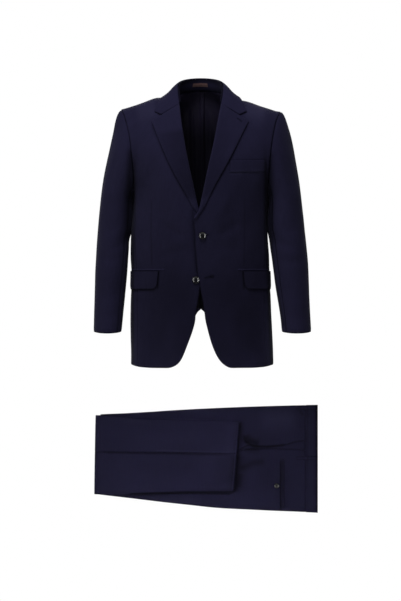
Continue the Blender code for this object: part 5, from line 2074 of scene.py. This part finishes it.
def trouser_settle(points: Points) -> Points:
    """Settles the trousers' edges, and reaches out with the laid-back leg's hem and the waist.

    Args:
        points: Places in metres, one a row.

    Returns:
        Moves in metres, one a row.
    """
    x, y, z = points.T
    under = soft_step(y, *LEG_Y)
    reach = HEM_REACH * soft_step(x, 0.0, 0.09) * (1 - under)
    reach += WAIST_REACH * soft_step(x, 0.24, 0.32) + FOLD_OUT.read(z) * soft_step(-x, 0.22, 0.29)
    rise = TOP_RISE.read(x) * soft_step(z, -0.930, -0.890)
    drop = TROUSER_DROP.read(x) * soft_step(-z, 1.020, 1.100)
    drop *= np.maximum(under, 1 - soft_step(x, -0.230, -0.110))
    return np.stack([reach, 0 * x, rise + drop], 1)


# Painted shade beside the laid-back leg, in the pocket's mouth, along pressed seams and over
# darker stretches, and painted light along lit edges and over brighter stretches.
TROUSER_MARKS = (
    Mark(((108, -900), (91.5, -1100)), 9, 0.72, True, fade=0.03),
    Mark(((108, -900), (91.5, -1100)), 2.4, 0.7, True, fade=0.03),
    Mark(((102, -990), (92, -1100)), 24, 0.42, fade=0.12),
    Mark(((93, -1095), (-60, -1096), (-200, -1101)), 7, 0.6, True),
    Mark(((93, -1096), (-60, -1097), (-200, -1102)), 3, 0.9, fade=0.02),
    Mark(((-230, -1020), (40, -1022)), 24, 0.13, fade=0.3),
    Mark(((60, -990), (76, -1080)), 30, 0.3, fade=0.2),
    Mark(((115, -979), (172, -981)), 10, 0.38, fade=0.25),
    Mark(((-258, -888.5), (-111, -893.3), (80.5, -899.6), (105, -908)), 1.6, -0.4),
    Mark(((102.5, -905), (87, -1091)), 1.6, -0.6, fade=0.02),
    Mark(((99.5, -905), (84, -1093)), 1.3, 0.4, fade=0.02),
    Mark(((83, -905), (69, -1090)), 13, -0.16, fade=0.05),
    Mark(((-130, -980.5), (95, -987)), 1.8, -0.4),
    Mark(((-284, -987.5), (94, -994)), 3.2, 0.5),
    Mark(((117.8, -934), (124, -957), (145, -970), (183, -971.5), (237, -965.5)), 3.2, 0.85),
    Mark(((183, -971.5), (210, -970), (239, -965)), 1.7, 0.6),
    Mark(((122, -938), (135, -954), (164, -966)), 10.5, 0.74, fade=0.18),
    Mark(((118, -915), (119, -960)), 9, 0.12),
    Mark(((238, -965.5), (261, -956.5), (286, -954)), 1.6, 0.6),
    Mark(((108, -1034), (145, -1016.6), (178, -1012)), 9, 0.56),
    Mark(((112, -1045), (104, -1085)), 8, 0.35),
    Mark(((226, -1010), (226, -1142)), 4.2, 0.55, fade=0.02),
    Mark(((221.2, -1010), (221.2, -1142)), 1.6, 0.5, fade=0.02),
    Mark(((150, -900), (278, -893)), 30, -0.55, fade=0.3),
    Mark(((-230, -935), (70, -940)), 30, -0.1, fade=0.3),
    Mark(((140, -1060), (275, -1070)), 34, 0.12, fade=0.3),
    Mark(((264, -862), (274, -872), (285, -885)), 3, 0.5),
    Mark(((291.5, -846), (291.5, -1146)), 1.5, -0.34, fade=0.02),
    Mark(((296.3, -846), (296.3, -1146)), 1.5, 0.3, fade=0.02),
    Mark(((301, -846), (301, -1146)), 1.5, -0.34, fade=0.02),
    Mark(((321, -842), (321, -1150)), 3, 0.9, fade=0.02),
)


@dataclass
class FoldedTrousers:
    """The trousers, folded flat: hidden layers, hip panels, waistband and laid-back leg."""

    wardrobe: Wardrobe
    drape: Drape = Drape(trouser_way, TROUSER_CREASES, 0.00028, 0.16, trouser_settle,
                         TROUSER_MARKS, 1.4)
    # The longest edge of a panel. The hidden layers, which rest on nothing here and show at
    # their rims alone, aren't cut so fine.
    FINEST = 0.0040
    CUTS = {
        # node: (flat, area, subdivision, what it rests on)
        "trouser_layers": ((0.610, 0.410), 0.2434, 2, ()),
        "hip_front": ((0.572, 0.124), 0.0637, 3, ("trouser_layers",)),
        "hip_back": ((0.572, 0.173), 0.0852, 3, ("trouser_layers",)),
        "pocket_facing": ((0.177, 0.030), 0.0028, 2, ("trouser_layers",)),
        "waistband": ((0.0365, 0.300), 0.0107, 3, ("trouser_layers",)),
        "leg_front": ((0.419, 0.103), 0.0394, 3, ("trouser_layers",)),
        "leg_back": ((0.412, 0.118), 0.0469, 3, ("trouser_layers",)),
        "back_pocket_welt": ((0.0140, 0.138), 0.0019, 3, ("hip_back",)),
        "loop_side": ((0.0112, 0.0590), 0.00064, 3, ("waistband", "hip_back")),
        "loop_front": ((0.0112, 0.0505), 0.00055, 3, ("waistband", "hip_front")),
    }

    def make(self) -> Pieces:
        """Builds the pieces.

        Returns:
            The finished objects by their nodes' names.
        """
        made = {}
        for node, (flat, area, level, under) in self.CUTS.items():
            made[node] = ClothPiece(
                node, flat, area, Held.FOLDED, self.drape, trouser_weave, level=level,
                dip=0.0005, band=0.0035, finest=self.FINEST if under else 0.0, rests_on=under,
            ).make(self.wardrobe.wool)
        return made


# Sewing on the finished pieces


# The turn of a stitch that crosses its line.
CROSSWISE = math.pi / 2


@dataclass
class Buttonhole:
    """A whipped buttonhole: its slit's middle, length and turn seen from the front."""

    name: str
    node: str
    x: float
    z: float
    long: float
    turn: float
    wide: float = 0.0026
    spacing: float = 0.00075
    stitch_thick: float = 0.0007
    height: float = 0.0001
    steps: int = 40
    seed: int = 11

    # How square the ring's ends and sides are, where 1 is an ellipse.
    END_POWER = 0.6
    SIDE_POWER = 0.8

    def make(self, cloth: Surface, wardrobe: Wardrobe) -> Object:
        """Builds the stitches round the slit.

        Args:
            cloth: What it is cut in.
            wardrobe: The finishes.

        Returns:
            The finished object.
        """
        turn = math.radians(self.turn)
        ring = []
        for k in range(self.steps + 1):
            c, s = math.cos(math.tau * k / self.steps), math.sin(math.tau * k / self.steps)
            a = self.long / 2 * math.copysign(abs(c) ** self.END_POWER, c)
            b = self.wide / 2 * math.copysign(abs(s) ** self.SIDE_POWER, s)
            x = self.x + a * math.cos(turn) - b * math.sin(turn)
            z = self.z + a * math.sin(turn) + b * math.cos(turn)
            ring.append(cloth.front(x, z, self.height))
        return StitchRun(self.name, [ring], self.spacing, self.wide * 0.62, self.stitch_thick,
                         CROSSWISE, self.seed).make(wardrobe.thread)


@dataclass
class Sewing:
    """Stitches that show on the jacket and the trousers."""

    wardrobe: Wardrobe
    made: Pieces
    edge_in: float = 0.0022
    # Each kind of stitch: its spacing, length and thickness.
    pick: Triple = (0.005, 0.0013, 0.00045)
    close: Triple = (0.0016, 0.0012, 0.0004)
    running: Triple = (0.003, 0.0019, 0.0004)
    tack: Triple = (0.0006, 0.0018, 0.0004)
    lapel_edge: dict[Side, Corners] = field(default_factory=lambda: {
        Side.LEFT: ((0.02, -0.289), (0.037, -0.252), (0.0635, -0.206), (0.092, -0.151),
                    (0.1155, -0.104), (0.13, -0.076)),
        Side.RIGHT: ((-0.0345, -0.288), (-0.0565, -0.249), (-0.08, -0.206),
                     (-0.1035, -0.154), (-0.127, -0.096), (-0.1355, -0.075)),
    })
    flap_corners: Corners = (
        (0.1168, -0.488), (0.1188, -0.523), (0.123, -0.53), (0.13, -0.5322),
        (0.15, -0.5322), (0.166, -0.5322))
    welt_ends: tuple[Corners, ...] = (
        ((0.0788, -0.215), (0.0815, -0.1855)), ((0.1735, -0.211), (0.1735, -0.1825)))
    band_lines: tuple[float, ...] = (0.2915, 0.3190)
    # Where the lines on the waistband run, on either side of the belt loop.
    band_runs: Corners = ((-0.870, -0.990), (-1.012, -1.140))
    pocket_line: Corners = ((0.124, -0.9618), (0.167, -0.9656), (0.208, -0.9642),
                            (0.243, -0.959), (0.284, -0.95))
    tack_from: float = 0.2210
    tack_to: float = 0.2305
    tack_z: tuple[float, ...] = (-1.0070, -1.1400)

    HOLES = (
        Buttonhole("buttonhole_top", "front_left", 0.0095, -0.3872, 0.0230, 4.0),
        Buttonhole("buttonhole_lower", "front_left", 0.0205, -0.5015, 0.0230, 12.0),
        Buttonhole("buttonhole_lapel", "lapel_left", 0.1050, -0.0715, 0.0170, -38.0),
    )

    def make(self) -> None:
        """Sews every visible line."""
        lapels = {side: [(x - side.value * self.edge_in * 0.9, z + self.edge_in * 0.5)
                         for x, z in self.lapel_edge[side]] for side in Side}
        flaps = {side: [(side.value * (x + 0.0004), z + 0.0003) for x, z in self.flap_corners]
                 for side in Side}
        for part, lines in (("lapel", lapels), ("flap", flaps)):
            self.sew(f"{part}_pick_stitches", self.pick, [
                even_route(lines[side], self.on(f"{part}_{side.word}")) for side in Side])
        welt = self.on("breast_welt")
        self.sew("welt_end_stitches", self.close, [even_route(end, welt) for end in self.welt_ends])
        for hole in self.HOLES:
            hole.make(Surface([self.made[hole.node]]), self.wardrobe)
        band = self.on("waistband")
        routes = [even_route(((x, top), (x, low)), band)
                  for x in self.band_lines for top, low in self.band_runs]
        routes.append(even_route(self.pocket_line, self.on("hip_front", "hip_back")))
        self.sew("trouser_line_stitches", self.running, routes)
        pocket = self.on("back_pocket_welt")
        self.sew("pocket_bar_tacks", self.tack, [
            even_route(((self.tack_from, z), (self.tack_to, z)), pocket, 0.003)
            for z in self.tack_z], CROSSWISE)

    def on(self, *nodes: str) -> Seat:
        """What seats a route on the front of some finished pieces."""
        return Surface([self.made[node] for node in nodes]).front

    def sew(self, name: str, kind: Triple, routes: list[Route], turn: float = 0.0) -> None:
        """Sews a run of one kind of stitch."""
        StitchRun(name, routes, *kind, turn).make(self.wardrobe.thread)


# Studio


@dataclass
class Studio:
    """Floor, lights, surroundings and camera."""

    camera_at: Triple = (-0.0014, -10.0, -0.565)
    lens: float = 217.8
    sensor: float = 36.0
    floor_z: float = -1.90
    floor_out: float = 6.0
    white_from: float = 0.70
    white_to: float = 0.96
    dim: float = 0.20
    glint_wide: float = 0.24
    glint_tall: float = 3.4

    # Each lamp: its place, what it is turned towards, its width, power and beam in degrees, and
    # whether polished things mirror it.
    LAMPS = {
        "key": ((-0.5, -1.5, 2.4), (0.0, 0.0, -0.20), 1.5, 150.0, 180.0, False),
        "left_fill": ((-3.0, -2.2, 0.1), (0.0, 0.0, -0.5), 1.0, 36.0, 180.0, True),
        "right_fill": ((3.0, -2.2, 0.1), (0.0, 0.0, -0.5), 0.7, 11.0, 180.0, True),
        "back": ((0.0, 3.0, 1.8), (0.0, 0.0, -0.4), 2.4, 50.0, 180.0, True),
        "lower": ((0.0, -3.0, -1.2), (0.0, 0.0, -1.05), 0.5, 0.88, 14.0, False),
    }
    # Each narrow lamp that lights the buttons alone: its place and power.
    GLINTS = {"left_glint": ((-1.5, -2.0, -0.6), 58.0), "right_glint": ((1.5, -2.0, -0.6), 38.0)}

    def make(self, polished: Sequence[Object]) -> None:
        """Builds the studio.

        Args:
            polished: The buttons, which two narrow lamps of their own make glint.
        """
        self.floor()
        for name, (place, power) in self.GLINTS.items():
            self.glint(name, place, power, polished)
        self.surroundings()
        for name, lamp in self.LAMPS.items():
            self.light(name, *lamp)
        self.camera()

    def floor(self) -> None:
        """Lays a round pale floor well below the suit."""
        shape = bmesh.new()
        bmesh.ops.create_circle(shape, cap_ends=True, segments=96, radius=self.floor_out,
                                matrix=Matrix.Translation((0, 0, self.floor_z)))
        mesh = mesh_of(shape, "floor")
        mesh.materials.append(PaleFloor().material())
        linked("floor", mesh)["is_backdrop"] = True

    def surroundings(self) -> None:
        """Surrounds the suit with a room that is white behind it and dimmer before it."""
        world = bpy.data.worlds.new("pale_room")
        world.use_nodes = True
        tree = world.node_tree
        ground = tree.nodes["Background"]
        ground.inputs["Color"].default_value = (1.0, 1.0, 1.0, 1)
        toward = add_node(tree, "ShaderNodeTexCoord").outputs["Object"]
        ahead = add_node(tree, "ShaderNodeSeparateXYZ", {0: toward}).outputs[1]
        share = add_node(tree, "ShaderNodeMapRange", {
            "Value": ahead, "From Min": self.white_from, "From Max": self.white_to,
            "To Min": self.dim, "To Max": 1.0}, interpolation_type="SMOOTHSTEP")
        tree.links.new(share.outputs[0], ground.inputs["Strength"])
        bpy.context.scene.world = world

    def light(self, name: str, place: Triple, target: Triple, wide: float, power: float,
              spread: float, shine: bool) -> Object:
        """Hangs a soft round light.

        Args:
            name: Its name.
            place: Where it hangs.
            target: What it is turned towards.
            wide: Its width.
            power: Its power in watts.
            spread: Its beam's spread in degrees.
            shine: Whether polished things mirror it.

        Returns:
            The light's object.
        """
        lamp = bpy.data.lights.new(name, "AREA")
        lamp.shape = "DISK"
        lamp.size = wide
        lamp.energy = power
        lamp.spread = math.radians(spread)
        made = linked(name, lamp)
        made.visible_glossy = shine
        made.location = place
        ahead = Vector(target) - Vector(place)
        made.rotation_euler = ahead.to_track_quat("-Z", "Y").to_euler()
        return made

    def glint(self, name: str, place: Triple, power: float, onto: Sequence[Object]) -> None:
        """Hangs a narrow upright lamp that lights only some objects.

        Args:
            name: Its name.
            place: Where it hangs.
            power: Its power in watts.
            onto: What it lights.
        """
        lamp = self.light(name, place, (0.0, 0.0, place[2]), self.glint_wide, power, 180.0, True)
        lamp.data.shape = "RECTANGLE"
        lamp.data.size_y = self.glint_tall
        only = bpy.data.collections.new(name + "_receivers")
        for made in onto:
            only.objects.link(made)
        lamp.light_linking.receiver_collection = only

    def camera(self) -> None:
        """Sets up a long lens, square to the suit, at the height of its middle."""
        data = bpy.data.cameras.new("camera")
        data.sensor_width = self.sensor
        data.lens = self.lens
        data.clip_end = 100.0
        made = linked("camera", data)
        made.location = self.camera_at
        made.rotation_euler = (math.radians(90), 0, 0)
        bpy.context.scene.camera = made
        view = bpy.context.scene.view_settings
        view.view_transform = "Standard"
        view.look = "None"


def write_sizes() -> None:
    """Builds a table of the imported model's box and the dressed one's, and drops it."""
    boxes = {"cad": CAD_BOX, "visual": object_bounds()}
    {name: [list(corner) for corner in box] for name, box in boxes.items()}


def main() -> None:
    """Builds and dresses the suit, then its studio."""
    wardrobe = Wardrobe.made()
    jacket = JacketBody(wardrobe)
    made = jacket.make()
    made |= Sleeves(wardrobe).make()
    made |= CollarAndLapels(wardrobe).make()
    body = Surface([made[f"{part}_{side.word}"] for part in ("front", "side") for side in Side])
    made |= Pockets(wardrobe, jacket.drape).make(body)
    made["label"] = Label(wardrobe).make(Surface([made["collar_stand"]]))
    made |= FoldedTrousers(wardrobe).make()
    buttons = [
        button.make(wardrobe) for button in (
            Button("button_top", 0.0200, 0.0040),
            Button("button_lower", 0.0200, 0.0040),
            Button("back_pocket_button", 0.0140, 0.0030, 0.0013, 0.0015, turn=0.5))
    ]
    Sewing(wardrobe, made).make()
    Studio().make(buttons)
    write_sizes()


if __name__ == "__main__":
    main()
